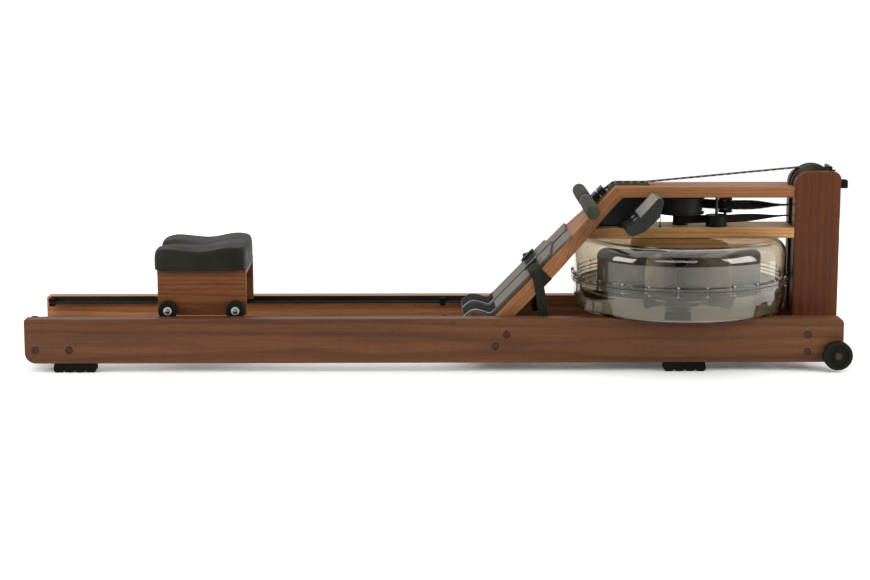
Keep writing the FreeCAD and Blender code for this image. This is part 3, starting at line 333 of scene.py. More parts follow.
# ---------------------------------------------------------------------------
# Transport wheels. Black moulded wheels at the front corners, for rolling the machine about, on axles
# pressed into the rails' front ends.
wheel_rubber = moulded("wheel_rubber", (0.009, 0.008, 0.005), 0.6, 0.8, 0.12, 0.1)
finish_node("right_transport_wheel", wheel_rubber)
finish_node("left_transport_wheel", wheel_rubber)
finish_node("transport_axles", black_oxide)

# ---------------------------------------------------------------------------
# Tank. Two moulded shells of clear, lightly smoked polycarbonate, screwed together on a rubber seal, with
# a black plug in the filling hole.


def clear(name, tint, roughness, refraction, wave_scale, wave_strength):
    """Clear plastic or water with faint waves in its tint and surface."""
    material, shader = start_material(name, roughness, Transmission_Weight=1.0, IOR=refraction)
    place = add_node(material, "TexCoord").outputs["Object"]
    haze = add_node(material, "TexNoise", Vector=place, Scale=wave_scale, Detail=2.0).outputs["Fac"]
    shade = ramp(material, haze, [(0.3, scaled(tint, 0.93)), (0.7, tint)])
    link(material, shade, shader.inputs["Base Color"])
    waves = add_node(material, "Bump", Height=haze, Strength=wave_strength, Distance=0.002)
    link(material, waves.outputs["Normal"], shader.inputs["Normal"])
    return material


shell_plastic = clear("shell_plastic", (0.68, 0.625, 0.54), 0.02, 1.5, 9.0, 0.05)
finish_node("tank_lower_shell", shell_plastic)
finish_node("tank_upper_shell", shell_plastic)
finish_node("tank_seal", moulded("seal_rubber", (0.04, 0.038, 0.03), 0.6))
finish_node("tank_screws", zinc)
black_plastic = moulded("black_plastic", (0.006, 0.006, 0.005), 0.42, gloss=0.15)
finish_node("fill_plug", black_plastic)
finish_node("shaft_bearings", black_plastic)

# ---------------------------------------------------------------------------
# Paddle. A bright shaft on bearings above and below, and a dark hub that widens at the top and carries
# six grey moulded blades.
finish_node("paddle_shaft", zinc)
finish_node("paddle_hub", moulded("hub_plastic", (0.006, 0.0055, 0.0045), 0.85, gloss=0.02))
finish_node("paddle_blades", moulded("blade_plastic", (0.46, 0.43, 0.385), 0.42, 1.4, 0.1, 0.3))


def finished(name, made, material, smooth=True):
    """Turns a bmesh into a piece with one finish."""
    mesh = bpy.data.meshes.new(name)
    made.to_mesh(mesh)
    made.free()
    mesh.materials.append(material)
    for polygon in mesh.polygons:
        polygon.use_smooth = smooth
    piece = bpy.data.objects.new(name, mesh)
    scene.collection.objects.link(piece)
    return piece


def lathe(name, profile, centre, material, axis="Z", steps=128):
    """A closed body turned about an axis from (radius, distance along it) points, each end on the axis."""
    made = bmesh.new()
    rings = []
    for radius, along in profile:
        count = 1 if radius < 1e-6 else steps
        ring = []
        for i in range(count):
            angle = 2 * math.pi * i / steps
            a, b = radius * math.cos(angle), radius * math.sin(angle)
            offset = Vector((a, b, along)) if axis == "Z" else Vector((a, along, b))
            ring.append(made.verts.new(Vector(centre) + offset))
        rings.append(ring)
    for lower, upper in zip(rings[:-1], rings[1:]):
        for i in range(steps):
            j = (i + 1) % steps
            corners = [lower[i % len(lower)], lower[j % len(lower)]]
            corners += [upper[j % len(upper)], upper[i % len(upper)]]
            made.faces.new(list(dict.fromkeys(corners)))
    bmesh.ops.recalc_face_normals(made, faces=made.faces)
    return finished(name, made, material)


# ---------------------------------------------------------------------------
# Water. One still body of it that half fills the tank, a hair inside the shell, and climbs a little at
# the wall.
tank_low, tank_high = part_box("tank_lower_shell")
tank_middle = ((tank_low.x + tank_high.x) / 2, 0.0, 0.0)
water_bottom = tank_low.z + 0.0046
water_line = tank_low.z + 0.066
water_profile = [
    (0.0, water_bottom),
    (0.2575, water_bottom),
    (0.2615, water_bottom + 0.0015),
    (0.2642, water_bottom + 0.0050),
    (0.2660, water_bottom + 0.0125),
    (0.2698, water_bottom + 0.0300),
    (0.2714, water_bottom + 0.0390),
    (0.2722, water_bottom + 0.0490),
    (0.2723, water_line),
    (0.2695, water_line - 0.0012),
    (0.2630, water_line - 0.0020),
    (0.0, water_line - 0.0022),
]
tank_water = clear("tank_water", (0.31, 0.325, 0.27), 0.01, 1.33, 22.0, 0.14)
water = lathe("water", water_profile, tank_middle, tank_water)
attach(water, "root")

# ---------------------------------------------------------------------------
# Strap drive. Moulded black drums, rollers and pulleys on plain bolts; the top pulley's rim is ribbed so
# the strap can't slip.
drive_plastic = moulded("drive_plastic", (0.006, 0.0055, 0.004), 0.4, 0.7, gloss=0.13)
for name in ("drive_drum", "upper_guide_roller", "lower_guide_roller", "lower_pulley", "floor_pulley"):
    finish_node(name, drive_plastic)
finish_node("mechanism_bolts", black_oxide)
finish_node("strap_guard", black_plastic)
finish_node("mechanism_cover", moulded("cover_plastic", (0.009, 0.009, 0.009), 0.33, 1.6))
finish_node("strap_skid", moulded("skid_plastic", (0.055, 0.055, 0.042), 0.38))

PULLEY_TOP = Vector((0.973, 0, 0.455))
PULLEY_TOP_R = 0.050
ribbed, ribbed_shader = start_material("ribbed_rim", 0.4, Specular_IOR_Level=0.3)
rim_place = add_node(ribbed, "TexCoord").outputs["Object"]
rim_centred = add_node(ribbed, "Mapping", Vector=rim_place, Location=tuple(-PULLEY_TOP)).outputs["Vector"]
rim_turned = add_node(ribbed, "Mapping", Vector=rim_centred, Rotation=(math.pi / 2, 0, 0)).outputs["Vector"]
rim_ribs = add_node(ribbed, "TexGradient", {"gradient_type": "RADIAL"}, Vector=rim_turned).outputs["Fac"]
rib_count = add_node(ribbed, "Math", {"operation": "MULTIPLY"}, Value=rim_ribs)
rib_count.inputs[1].default_value = 84.0
rib_wave = add_node(ribbed, "Math", {"operation": "PINGPONG"}, Value=rib_count.outputs["Value"])
rib_wave.inputs[1].default_value = 0.5
# The rim is painted darker in the grooves between its ribs and lighter on their crests: painted shade in the
# grooves.
rib_groove_shade_tones = [(0.15, (0.010, 0.010, 0.008)), (0.42, (0.034, 0.031, 0.021))]
rib_colour_with_groove_shade = ramp(ribbed, rib_wave.outputs["Value"], rib_groove_shade_tones)
link(ribbed, rib_colour_with_groove_shade, ribbed_shader.inputs["Base Color"])
rib_relief = add_node(ribbed, "Bump", Height=rib_wave.outputs["Value"], Strength=0.7, Distance=0.002)
link(ribbed, rib_relief.outputs["Normal"], ribbed_shader.inputs["Normal"])
finish_node("top_pulley", ribbed)

# ---------------------------------------------------------------------------
# Drive strap. Woven black webbing that winds on the drum, stands on edge round the guide roller, twists
# flat, and runs round the top pulley and down over the skid to the handle.


def webbing(name, colour, rib=1.7, fleck=0.0):
    """Woven webbing: ribs across the strap crossed by a diagonal of yarns, with pale flecks and fuzz."""
    material, shader = start_material(
        name, 0.85, Sheen_Weight=0.03, Sheen_Roughness=0.5, Specular_IOR_Level=0.1
    )
    place = add_node(material, "UVMap").outputs["UV"]
    ribs = add_node(
        material, "TexWave", {"wave_type": "BANDS", "bands_direction": "X"},
        Vector=place, Scale=314.0 / rib, Distortion=0.5, Detail=1.0,
    ).outputs["Fac"]
    twill = add_node(
        material, "TexWave", {"wave_type": "BANDS", "bands_direction": "DIAGONAL"},
        Vector=place, Scale=200.0 / rib, Distortion=0.4, Detail=1.0,
    ).outputs["Fac"]
    yarn = multiply(material, ribs, twill, 0.6)
    fuzz = add_node(material, "TexNoise", Vector=place, Scale=700.0, Detail=2.0).outputs["Fac"]
    shade = ramp(material, yarn, [(0.1, scaled(colour, 0.45)), (0.75, scaled(colour, 1.7))])
    if fleck:
        tracer = add_node(
            material, "TexWave", {"wave_type": "BANDS", "bands_direction": "DIAGONAL"},
            Vector=place, Scale=314.0 / fleck / 1.41, Distortion=0.8, Detail=1.0,
        ).outputs["Fac"]
        spot = add_node(material, "SeparateXYZ", Vector=place).outputs["Y"]
        reach = add_node(material, "Math", {"operation": "ABSOLUTE"}, Value=spot).outputs["Value"]
        edge = add_node(material, "MapRange", Value=reach, From_Min=0.0095, From_Max=0.0112).outputs["Result"]
        pale = multiply(material, ramp(material, tracer, [(0.55, (0, 0, 0)), (0.8, (1, 1, 1))]), edge)
        flecked = add_node(material, "MixRGB", Fac=pale, Color1=shade, Color2=(0.20, 0.19, 0.15, 1))
        shade = flecked.outputs["Color"]
    fuzz_tones = [(0.35, (0.7, 0.7, 0.7)), (0.7, (1.4, 1.38, 1.3))]
    shade = multiply(material, shade, ramp(material, fuzz, fuzz_tones))
    link(material, shade, shader.inputs["Base Color"])
    relief = add_node(material, "Bump", Height=yarn, Strength=0.6, Distance=0.0006)
    link(material, relief.outputs["Normal"], shader.inputs["Normal"])
    return material


def strap(name, route, acrosses, width, thickness, material, closed=False):
    """Flat woven strap with soft edges: a route, and the direction of its width at each point."""
    corner = thickness / 2
    flat = width / 2 - corner
    edge = [i * math.pi / 4 for i in range(5)]
    section = [(flat + corner * math.sin(a), corner * math.cos(a)) for a in edge]
    section += [(flat * f, -corner) for f in (0.5, 0.0, -0.5)]
    section += [(-flat - corner * math.sin(a), -corner * math.cos(a)) for a in edge]
    section += [(flat * f, corner) for f in (-0.5, 0.0, 0.5)]
    made = bmesh.new()
    uv = made.loops.layers.uv.new("UVMap")
    rings, lengths, travelled, last = [], [], 0.0, len(route) - 1
    for i, point in enumerate(route):
        if closed:
            ahead = route[(i + 1) % len(route)] - route[i - 1]
        else:
            ahead = route[min(i + 1, last)] - route[max(i - 1, 0)]
        tangent = ahead.normalized()
        across = (acrosses[i] - tangent * acrosses[i].dot(tangent)).normalized()
        off = tangent.cross(across)
        travelled += (point - route[i - 1]).length if i else 0.0
        lengths.append(travelled)
        rings.append([made.verts.new(point + across * a + off * b) for a, b in section])
    if closed:
        rings.append(rings[0])
        lengths.append(travelled + (route[0] - route[-1]).length)
    count = len(section)
    for i in range(len(rings) - 1):
        for j in range(count):
            k = (j + 1) % count
            face = made.faces.new((rings[i][j], rings[i][k], rings[i + 1][k], rings[i + 1][j]))
            places = ((i, j), (i, k), (i + 1, k), (i + 1, j))
            for loop, (ring, spot) in zip(face.loops, places):
                loop[uv].uv = (lengths[ring], section[spot][0])
    if not closed:
        made.faces.new(list(reversed(rings[0])))
        made.faces.new(rings[-1])
    bmesh.ops.recalc_face_normals(made, faces=made.faces)
    return finished(name, made, material)


def straight(a, b, step=0.006):
    """Points from a up to, but not including, b."""
    count = max(1, round((b - a).length / step))
    return [a.lerp(b, i / count) for i in range(count)]


def arc(centre, radius, start, end, plane, steps):
    """Points round a centre from one angle to another, in the XY or XZ plane."""
    points = []
    for i in range(steps + 1):
        angle = math.radians(start + (end - start) * i / steps)
        a, b = radius * math.cos(angle), radius * math.sin(angle)
        points.append(Vector(centre) + (Vector((a, b, 0)) if plane == "XY" else Vector((a, 0, b))))
    return points


def drum_to_roller(drum_r, roller, roller_r, side, height, twist_x):
    """Route on edge from the drum, crossing to the far side of a roller, then along to the twist."""
    centre = Vector((tank_middle[0], 0, height))
    across = Vector((roller[0], roller[1], height)) - centre
    lean = math.atan2(side * across.y, across.x) + math.acos((drum_r + roller_r) / across.length)
    degrees = math.degrees(lean)
    route = arc(centre, drum_r, side * (degrees + 150), side * degrees, "XY", 30)
    spot = Vector((roller[0], roller[1], height))
    bend = []
    for i in range(13):
        angle = lean + (math.pi / 2 - lean) * i / 12
        bend.append(spot - Vector((math.cos(angle), side * math.sin(angle), 0)) * roller_r)
    route += straight(route[-1], bend[0])[1:] + bend
    route += straight(bend[-1], Vector((twist_x, bend[-1].y, height)))[1:]
    return route


UP = Vector((0, 0, 1))
SIDEWAYS = Vector((0, 1, 0))


def quarter_twist(start, end, steps=36):
    """Route and width directions for a strap that turns from on edge to flat."""
    route, acrosses = [], []
    for i in range(steps):
        t = i / steps
        turn = math.pi / 2 * (3 * t * t - 2 * t ** 3)
        route.append(start.lerp(end, t))
        acrosses.append(UP * math.cos(turn) + SIDEWAYS * math.sin(turn))
    return route, acrosses


SLOPE = math.radians(46)
UP_SLOPE = Vector((math.cos(SLOPE), 0, math.sin(SLOPE)))
OFF_SLOPE = Vector((-math.sin(SLOPE), 0, math.cos(SLOPE)))
SLOPE_START = Vector((0.142, 0, 0.132))


def on_slope(s, n, y=0.0):
    """A point s mm up the footboard, n mm off its face and y mm to the left."""
    return SLOPE_START + UP_SLOPE * (s * MM) + OFF_SLOPE * (n * MM) + Vector((0, y * MM, 0))


strap_web = webbing("strap_web", (0.016, 0.015, 0.011), 2.6)
strap_r = PULLEY_TOP_R + 0.001
drum_height = PULLEY_TOP.z - strap_r
route = drum_to_roller(0.0595, (0.752, 0.020), 0.0194, 1, drum_height, 0.776)
acrosses = [UP] * len(route)
twist_end = Vector((0.905, 0, drum_height))
twist_route, twist_across = quarter_twist(Vector((0.776, route[-1].y, drum_height)), twist_end)
route += twist_route[1:]
acrosses += twist_across[1:]
OVER_SKID = 0.0074
corner = Vector((0.4568, 0, 0.458))
skid_end = corner + Vector((0.084, 0, OVER_SKID))
bend = corner + Vector((-OVER_SKID * math.tan(SLOPE / 2), 0, OVER_SKID))
away = PULLEY_TOP - skid_end
rise = math.atan2(away.z, away.x) + math.asin(strap_r / Vector((away.x, 0, away.z)).length)
flat_run = straight(twist_end, Vector((PULLEY_TOP.x, 0, drum_height)))
flat_run += arc(PULLEY_TOP, strap_r, -90, 90 + math.degrees(rise), "XZ", 48)
flat_run += straight(flat_run[-1], skid_end, 0.01)[1:] + [skid_end]
route += flat_run
acrosses += [SIDEWAYS] * len(flat_run)
drive_web = webbing("drive_strap_web", (0.013, 0.012, 0.009), 2.4, 7.0)
drive_strap = strap("drive_strap_long_run", route, acrosses, 0.025, 0.0024, drive_web)
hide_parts("drive_strap")
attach(drive_strap, "root")

yoke_top = on_slope(428.3, 10.5)
skid_bend = [skid_end.lerp(bend, t / 20) for t in range(18)]
for i in range(1, 8):
    t = i / 8
    a, b = bend + Vector((0.009, 0, 0)), bend - UP_SLOPE * 0.009
    skid_bend.append(a * (1 - t) ** 2 + bend * (2 * t * (1 - t)) + b * t * t)
pull_start = bend - UP_SLOPE * 0.009
pull_run = skid_bend + straight(pull_start, yoke_top, 0.0004) + [yoke_top, yoke_top - UP_SLOPE * 0.006]
pull_strap = strap("drive_strap_handle_run", pull_run, [SIDEWAYS] * len(pull_run), 0.025, 0.0024, drive_web)
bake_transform(pull_strap)

# ---------------------------------------------------------------------------
# Recoil strap. Narrower webbing from the spool under the drum, round its own roller and pulley, and down
# between the posts to the shock cord.
SPOOL_HEIGHT = 0.368
route = drum_to_roller(0.018, (0.722, -0.029), 0.0284, -1, SPOOL_HEIGHT, 0.758)
acrosses = [UP] * len(route)
recoil_flat = Vector((0.905, 0, 0.376))
twist_route, twist_across = quarter_twist(Vector((0.758, route[-1].y, SPOOL_HEIGHT)), recoil_flat)
route += twist_route[1:]
acrosses += twist_across[1:]
lower_pulley = Vector((0.969, 0, 0.346))
flat_run = straight(recoil_flat, lower_pulley + UP * 0.030) + arc(lower_pulley, 0.030, 90, 0, "XZ", 20)
flat_run += straight(flat_run[-1], Vector((0.999, 0, 0.152)), 0.01)[1:] + [Vector((0.999, 0, 0.152))]
route += flat_run
acrosses += [SIDEWAYS] * len(flat_run)
recoil_strap = strap("recoil_strap_run", route, acrosses, 0.021, 0.002, strap_web)
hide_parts("recoil_strap")
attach(recoil_strap, "root")

# ---------------------------------------------------------------------------
# Shock cord. Rubber strands in a braided cover, round the floor pulley and back under the tank to a steel
# ferrule in the middle spreader.


def tube(name, route, radius, material, sides=16):
    """Round cord along a route in the XZ plane."""
    made = bmesh.new()
    uv = made.loops.layers.uv.new("UVMap")
    rings, lengths, travelled, last = [], [], 0.0, len(route) - 1
    for i, point in enumerate(route):
        tangent = (route[min(i + 1, last)] - route[max(i - 1, 0)]).normalized()
        off = tangent.cross(SIDEWAYS)
        travelled += (point - route[i - 1]).length if i else 0.0
        lengths.append(travelled)
        angles = [2 * math.pi * j / sides for j in range(sides)]
        around = [SIDEWAYS * math.cos(a) + off * math.sin(a) for a in angles]
        rings.append([made.verts.new(point + spoke * radius) for spoke in around])
    for i in range(last):
        for j in range(sides):
            k = (j + 1) % sides
            face = made.faces.new((rings[i][j], rings[i][k], rings[i + 1][k], rings[i + 1][j]))
            for loop, (ring, spot) in zip(face.loops, ((i, j), (i, j + 1), (i + 1, j + 1), (i + 1, j))):
                loop[uv].uv = (lengths[ring], spot / sides * 2 * math.pi * radius)
    made.faces.new(list(reversed(rings[0])))
    made.faces.new(rings[-1])
    bmesh.ops.recalc_face_normals(made, faces=made.faces)
    return finished(name, made, material)


cord_top = Vector((0.999, 0, 0.152))
floor_pulley = Vector((0.9785, 0, 0.0685))
cord_route = straight(cord_top, floor_pulley + Vector((0.0205, 0, 0)))
cord_route += arc(floor_pulley, 0.0205, 0, -90, "XZ", 14)
cord_route += straight(cord_route[-1], Vector((0.166, 0, 0.048)), 0.01)[1:] + [Vector((0.166, 0, 0.048))]
shock_cord = tube("shock_cord_run", cord_route, 0.005, webbing("cord_braid", (0.018, 0.018, 0.018), 2.2))
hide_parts("shock_cord")
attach(shock_cord, "root")
clamp_profile = [(0.0, -0.010), (0.0062, -0.010), (0.0068, -0.008)]
clamp_profile += [(r, -y) for r, y in reversed(clamp_profile)]
cord_clamp = lathe("cord_clamp", clamp_profile, tuple(cord_top - UP * 0.004), black_oxide, "Z", 32)
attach(cord_clamp, "root")

# ---------------------------------------------------------------------------
# Handle. A steel bar with a foam grip pushed on each half, and a ribbed plastic yoke clamped round its
# middle that holds the strap.
finish_node("handle_bar", black_oxide)
finish_node("handle_yoke", black_plastic)


def foam(name, colour):
    """Closed-cell foam: fine open pores over a soft mottle."""
    material, shader = start_material(name, 0.9, Specular_IOR_Level=0.1, Sheen_Weight=0.03)
    place = add_node(material, "TexCoord").outputs["Object"]
    cells = add_node(material, "TexVoronoi", Vector=place, Scale=900.0).outputs["Distance"]
    patch = add_node(material, "TexNoise", Vector=place, Scale=25.0, Detail=3.0).outputs["Fac"]
    shade = ramp(material, patch, [(0.35, scaled(colour, 0.8)), (0.65, scaled(colour, 1.2))])
    shade = multiply(material, shade, ramp(material, cells, [(0.0, (0.6, 0.6, 0.6)), (0.4, (1.1, 1.1, 1.1))]))
    link(material, shade, shader.inputs["Base Color"])
    skin = add_node(material, "Bump", Height=cells, Strength=0.5, Distance=0.0006)
    link(material, skin.outputs["Normal"], shader.inputs["Normal"])
    return material


grip_foam = foam("grip_foam", (0.034, 0.034, 0.022))
grip_low, grip_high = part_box("handle_grips")
grip_r = (grip_high.z - grip_low.z) / 2
grip_middle = ((grip_low.x + grip_high.x) / 2, 0.0, (grip_low.z + grip_high.z) / 2)
grip_end = grip_high.y
for side, name in ((-1, "right_grip"), (1, "left_grip")):
    inner = 0.0245
    profile = [(0.0, inner)]
    profile += [(grip_r * f, inner + d) for f, d in ((0.86, 0.0), (0.95, 0.001), (0.985, 0.004))]
    for i in range(25):
        t = i / 24
        along = inner + 0.008 + (grip_end - inner - 0.016) * t
        swell = 0.97 + 0.03 * math.sin(math.pi * t)
        profile.append((grip_r * swell * (1 - 0.012 * math.exp(-((t - 0.5) / 0.012) ** 2)), along))
    profile += [(grip_r * f, grip_end - d) for f, d in ((0.955, 0.004), (0.86, 0.001), (0.7, 0.0))]
    profile.append((0.0, grip_end))
    grip = lathe(name, [(r, side * y) for r, y in profile], grip_middle, grip_foam, "Y", 48)
    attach(grip, "handle")
    if side < 0:
        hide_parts("handle_grips")

# ---------------------------------------------------------------------------
# Display. A black plastic case that tilts on a pin through its bracket on the deck, with a grey screen
# and two buttons.
finish_node("display_arm", black_plastic)
finish_node("display_body", moulded("case_plastic", (0.010, 0.011, 0.008), 0.36, 0.9, 0.1, 0.3))
finish_node("display_screen", moulded("screen_glass", (0.26, 0.26, 0.24), 0.16, 3.0, 0.0, 0.6))
button_plastic = moulded("button_plastic", (0.16, 0.16, 0.15), 0.38)
finish_node("display_button_right", button_plastic)
finish_node("display_button_left", button_plastic)

# ---------------------------------------------------------------------------
# Foot stretcher. Grey moulded plates screwed to the footboard, and sliding plates with a dark rubber pad
# let into each heel rest.
plate_plastic = moulded("plate_plastic", (0.108, 0.099, 0.080), 0.55, 1.2, 0.25)
finish_node("foot_plates", plate_plastic)
# A pale strip under each heel pad, a little wider than it, shows along both sides of the pad: a painted
# highlight on the heel rest's edges.
heel_rim_highlight = moulded("heel_rim_highlight", (0.40, 0.38, 0.34), 0.45, 1.2, 0.2)
heel_rubber = moulded("heel_rubber", (0.004, 0.0045, 0.003), 0.8, 1.4, 0.3, 0.12, 0.3)


def ease(points, rounds=2):
    """Chaikin corner cutting: rounds an open line of points off."""
    for _ in range(rounds):
        cut = [points[0]]
        for a, b in zip(points[:-1], points[1:]):
            cut += [a.lerp(b, 0.25), a.lerp(b, 0.75)]
        points = cut + [points[-1]]
    return points


for side, body in ((-1, "heel_right"), (1, "heel_left")):
    finish_node("right_heel_slide" if side < 0 else "left_heel_slide", plate_plastic)
    middle = Vector((0, side * 0.065, 0))
    heel_curve = ((0.0625, 0.1325), (0.0835, 0.1506), (0.108, 0.1475), (0.131, 0.1378))
    line = [Vector((x, 0, z)) for x, z in heel_curve]
    line.append(on_slope(16, 12.6))
    line = [point + middle for point in ease(line, 3)]
    # The pale rim strip under the pad is painted highlight along its two sides.
    highlight_rim_line = [point - UP * 0.0003 for point in line]
    rim = strap(body + "_rim", highlight_rim_line, [SIDEWAYS] * len(line), 0.1085, 0.0012, heel_rim_highlight)
    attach(rim, body)
    pad = strap(body + "_pad", line, [SIDEWAYS] * len(line), 0.101, 0.0016, heel_rubber)
    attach(pad, body)

# ---------------------------------------------------------------------------
# Foot straps. Woven webbing round each half of the footboard and over the foot plate, tightened through a
# ladder-lock buckle; the loose end falls outside the board and down inside the rail.


def rounded_block(made, low, high, place, bevel):
    """Adds a box with rounded edges, in local (s, y, n) millimetres."""
    cube = bmesh.ops.create_cube(made, size=1.0)["verts"]
    middle = [(a + b) / 2 for a, b in zip(low, high)]
    size = [b - a for a, b in zip(low, high)]
    for vert in cube:
        vert.co = Vector([m + c * s for m, c, s in zip(middle, vert.co, size)])
    edges = list({edge for vert in cube for edge in vert.link_edges})
    shaped = bmesh.ops.bevel(made, geom=edges, offset=bevel, segments=2, affect="EDGES", profile=0.6)
    for vert in {v for face in shaped["faces"] for v in face.verts} | {v for v in cube if v.is_valid}:
        vert.co = place(*vert.co)


buckle_plastic = moulded("buckle_plastic", (0.014, 0.014, 0.012), 0.28, 0.8, 0.05, 0.5)
for side in (-1, 1):
    end = "right" if side < 0 else "left"
    middle_s = 158.0
    loop_line = [(-5.5, -34.5), (-5.5, 10), (-9, 16.5), (-30, 18.5)]
    loop_line += [(-66, 17.6), (-104, 18), (-128, 14.5), (-147, 8)]
    loop_line += [(-150.9, 1), (-150.9, -30), (-149.2, -34.3), (-100, -34.6), (-50, -34.4), (-8, -34.6)]
    points = [on_slope(middle_s, n, -side * y) for y, n in loop_line]
    for _ in range(3):
        cut = []
        for a, b in zip(points, points[1:] + points[:1]):
            cut += [a.lerp(b, 0.22), a.lerp(b, 0.78)]
        points = cut
    loop = strap(f"foot_strap_{end}", points, [UP_SLOPE] * len(points), 0.032, 0.002, strap_web, closed=True)
    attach(loop, "root")

    tail_starts = ((156, 20.5, 74), (156, 21.2, 100), (157, 19.6, 128))
    tail_path = [on_slope(along, off, side * y) for along, off, y in tail_starts]
    tail_path += [on_slope(158, 15.5, side * 145), on_slope(157, 8, side * 153)]
    drop = [(250, 153.4, 236), (256, 153.2, 206), (261, 148.5, 176), (265, 146.2, 150), (268, 145.8, 96)]
    tail_path += [Vector((x * MM, side * y * MM, z * MM)) for x, y, z in drop]
    tail_line = ease(tail_path, 3)
    tail_across = []
    for i in range(len(tail_line)):
        t = min(1.0, i / (len(tail_line) * 0.55))
        tail_across.append(UP_SLOPE.lerp(Vector((1, 0, -0.12)), t * t * (3 - 2 * t)))
    tail = strap(f"foot_strap_tail_{end}", tail_line, tail_across, 0.025, 0.0016, strap_web)
    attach(tail, "root")

    made = bmesh.new()

    def local(s, y, n):
        return on_slope(s, n, side * 70 + y)

    for low, high in (
        ((136, -14, 20.0), (141, 14, 24.5)),
        ((175, -14, 20.0), (180, 14, 24.5)),
        ((136, -14, 20.0), (180, -9.5, 24.5)),
        ((136, 9.5, 20.0), (180, 14, 24.5)),
        ((138, -3.6, 21.4), (178, 0.4, 25.4)),
        ((138, 4.0, 20.6), (178, 6.6, 24.2)),
        ((141, -17.5, 21.6), (175, -13.4, 26.6)),
    ):
        rounded_block(made, low, high, local, 1.1)
    buckle = finished(f"strap_buckle_{end}", made, buckle_plastic, smooth=False)
    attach(buckle, "root")
    if side < 0:
        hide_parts("foot_straps")
        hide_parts("strap_buckles")

# ---------------------------------------------------------------------------
# Small fittings. A thin stalk that reads the drum's speed, between the deck and the top board, and the
# domed head of the screw in the right-hand post.
stalk_profile = [(0.0, 0.3522), (0.0030, 0.3522), (0.0030, 0.3560), (0.0014, 0.3564), (0.0014, 0.4262)]
stalk_profile += [(0.0030, 0.4266), (0.0030, 0.4298), (0.0, 0.4298)]
stalk = lathe("sensor_stalk", stalk_profile, (0.5735, -0.046, 0.0), black_plastic, "Z", 20)
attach(stalk, "root")
post_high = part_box("posts")[1]
knob_profile = [(0.0, -0.0050), (0.0028, -0.0044), (0.0046, -0.0024), (0.0050, 0.0)]
knob_profile += [(r, -z) for r, z in reversed(knob_profile[:-1])]
knob = lathe("post_screw", knob_profile, (post_high.x + 0.0005, -0.0300, 0.4450), black_oxide, "Z", 24)
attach(knob, "root")

# ---------------------------------------------------------------------------
# Seat base. A walnut board on two side panels, which carry four grooved rubber wheels on bolts with dark
# caps.
panel_walnut = wood("seat_panel_walnut", "X", (0.130, 0.041, 0.0095), 0.34, 9, (0.17, -0.16), 2.9)
finish_node("seat_panels", panel_walnut)
finish_node("seat_board", cross_walnut)
for side in ("right", "left"):
    for end in ("rear", "front"):
        finish_node(f"seat_wheel_{side}_{end}", wheel_rubber)
finish_node("seat_wheel_bolts", zinc)
bolt_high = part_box("seat_wheel_bolts")[1]
dark_steel = metal("dark_steel", (0.16, 0.155, 0.145), 0.4)
cap_profile = [(0.0, 0.0031), (0.0024, 0.0031), (0.0026, 0.0004), (0.0060, 0.0004)]
cap_profile += [(0.0068, -0.0004), (0.0068, -0.0028), (0.0, -0.0028)]
for side in (-1, 1):
    for end in ("rear", "front"):
        low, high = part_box(f"seat_wheel_{'right' if side < 0 else 'left'}_{end}")
        hub = Vector(((low.x + high.x) / 2, 0, (low.z + high.z) / 2))
        profile = [(r, side * (bolt_high.y + d)) for r, d in cap_profile]
        cap = lathe(f"seat_bolt_cap_{side}_{end}", profile, hub, dark_steel, "Y", 32)
        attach(cap, "seat")

# ---------------------------------------------------------------------------
# Seat pad. One piece of moulded foam with a tough leather-grained skin: two raised lobes at the rear with
# a tailbone notch between them, a dip across the middle and a higher front.


def table_value(stops, at):
    """Smooth value between (place, value) stops."""
    for (a, va), (b, vb) in zip(stops[:-1], stops[1:]):
        if at <= b:
            t = max(0.0, (at - a) / (b - a))
            return va + (vb - va) * t * t * (3 - 2 * t)
    return stops[-1][1]


pad_low, pad_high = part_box("seat_pad")
pad_middle = Vector(((pad_low.x + pad_high.x) / 2 - 0.0035, 0, 0))
half_x, half_y = (pad_high.x - pad_low.x) / 2 + 0.0005, (pad_high.y - pad_low.y) / 2 + 0.001
crest = [(-1.0, 52), (-0.70, 56.5), (0.0, 50), (0.66, 61), (1.0, 59)]
edge_height = [(-1.0, 37), (-0.62, 40), (-0.12, 31), (0.50, 47), (1.0, 46)]


def pad_outline(angle):
    """The pad's edge seen from above: a rounded oblong with the notch at its rear."""
    c, s = math.cos(angle), math.sin(angle)
    power = 8
    r = (abs(c / half_x) ** power + abs(s / half_y) ** power) ** (-1 / power)
    x, y = r * c, r * s
    if x < 0:
        x += 0.026 * math.exp(-((y / 0.030) ** 2)) * (-x / half_x) ** 2
    x += 0.003 * math.cos(math.pi * y / half_y) if x > 0 else 0.0
    return x, y


def pad_height(x, y):
    """Height of the crown above the pad's base, in mm."""
    u = x / half_x
    trough = math.exp(-((y / 0.030) ** 2)) * max(0.0, min(1.0, 0.35 - u * 0.9))
    return table_value(crest, u) - 9.0 * trough


RINGS = 34
STEPS = 176
SHOULDER = 0.0125
made = bmesh.new()
layers = []
for k in range(1, RINGS + 1):
    f = (k / RINGS) ** 0.7
    ring = []
    for i in range(STEPS):
        x, y = pad_outline(2 * math.pi * i / STEPS)
        inset = min(SHOULDER, math.hypot(x, y) * (1 - f))
        crown = pad_height(x * f, y * f)
        drop = crown - table_value(edge_height, x / half_x)
        round_off = 1 - math.sqrt(max(0.0, 1 - (1 - inset / SHOULDER) ** 2))
        surface = pad_low.z + (crown - drop * round_off) * MM
        ring.append(made.verts.new(pad_middle + Vector((x * f, y * f, surface))))
    layers.append(ring)
for rise_mm, pull in ((24, 1.003), (12, 1.003), (4, 1.0), (1.2, 0.993), (0.2, 0.975)):
    ring = []
    for i in range(STEPS):
        x, y = pad_outline(2 * math.pi * i / STEPS)
        ring.append(made.verts.new(pad_middle + Vector((x * pull, y * pull, pad_low.z + rise_mm * MM))))
    layers.append(ring)
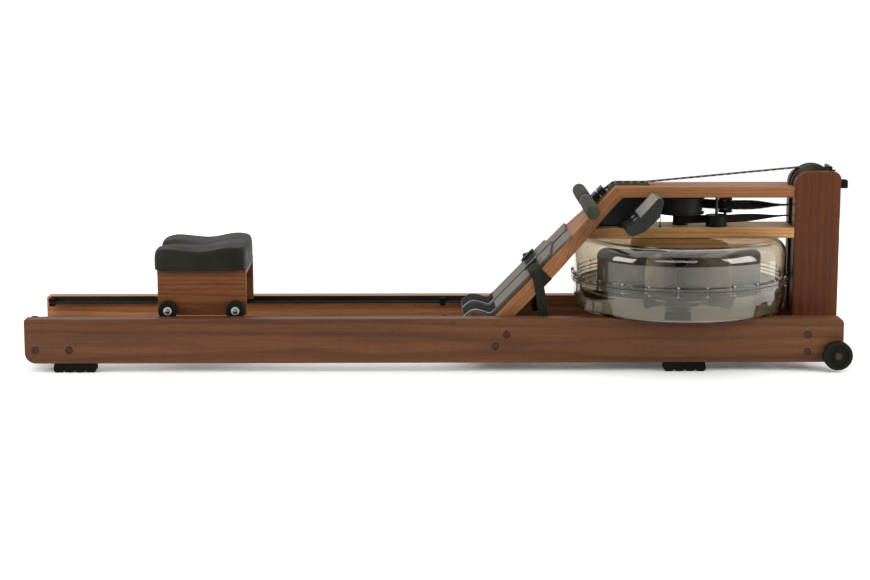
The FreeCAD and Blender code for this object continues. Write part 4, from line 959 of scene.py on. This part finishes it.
top_point = made.verts.new(pad_middle + Vector((0, 0, pad_low.z + pad_height(0, 0) * MM)))
base_point = made.verts.new(pad_middle + Vector((0, 0, pad_low.z + 0.0002)))
for i in range(STEPS):
    j = (i + 1) % STEPS
    made.faces.new((top_point, layers[0][i], layers[0][j]))
    made.faces.new((base_point, layers[-1][j], layers[-1][i]))
    for inner, outer in zip(layers[:-1], layers[1:]):
        made.faces.new((inner[i], outer[i], outer[j], inner[j]))
bmesh.ops.recalc_face_normals(made, faces=made.faces)


def skin(name, colour):
    """Moulded foam skin with a fine leather grain, shinier in patches."""
    material, shader = start_material(name, 0.5, Specular_IOR_Level=0.06)
    place = add_node(material, "TexCoord").outputs["Object"]
    cells = add_node(
        material, "TexVoronoi", {"feature": "SMOOTH_F1"}, Vector=place, Scale=420.0
    ).outputs["Distance"]
    folds = add_node(material, "TexNoise", Vector=place, Scale=60.0, Detail=4.0).outputs["Fac"]
    patch = add_node(material, "TexNoise", Vector=place, Scale=11.0, Detail=3.0).outputs["Fac"]
    shade = ramp(material, patch, [(0.35, scaled(colour, 0.82)), (0.65, scaled(colour, 1.18))])
    link(material, shade, shader.inputs["Base Color"])
    worn = add_node(material, "MapRange", Value=patch, From_Min=0.3, From_Max=0.7, To_Min=0.40, To_Max=0.58)
    link(material, worn.outputs["Result"], shader.inputs["Roughness"])
    fine = add_node(material, "Bump", Height=cells, Strength=0.3, Distance=0.0004)
    broad = add_node(
        material, "Bump", Height=folds, Strength=0.08, Distance=0.001, Normal=fine.outputs["Normal"]
    )
    link(material, broad.outputs["Normal"], shader.inputs["Normal"])
    return material


seat_pad = finished("seat_pad_cushion", made, skin("seat_skin", (0.0145, 0.013, 0.009)))
smooth = seat_pad.modifiers.new("smooth", "SUBSURF")
smooth.levels = smooth.render_levels = 1
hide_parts("seat_pad")
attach(seat_pad, "seat")

# ---------------------------------------------------------------------------
# Bounds. The extent of the finished model, without the floor.
low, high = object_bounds()
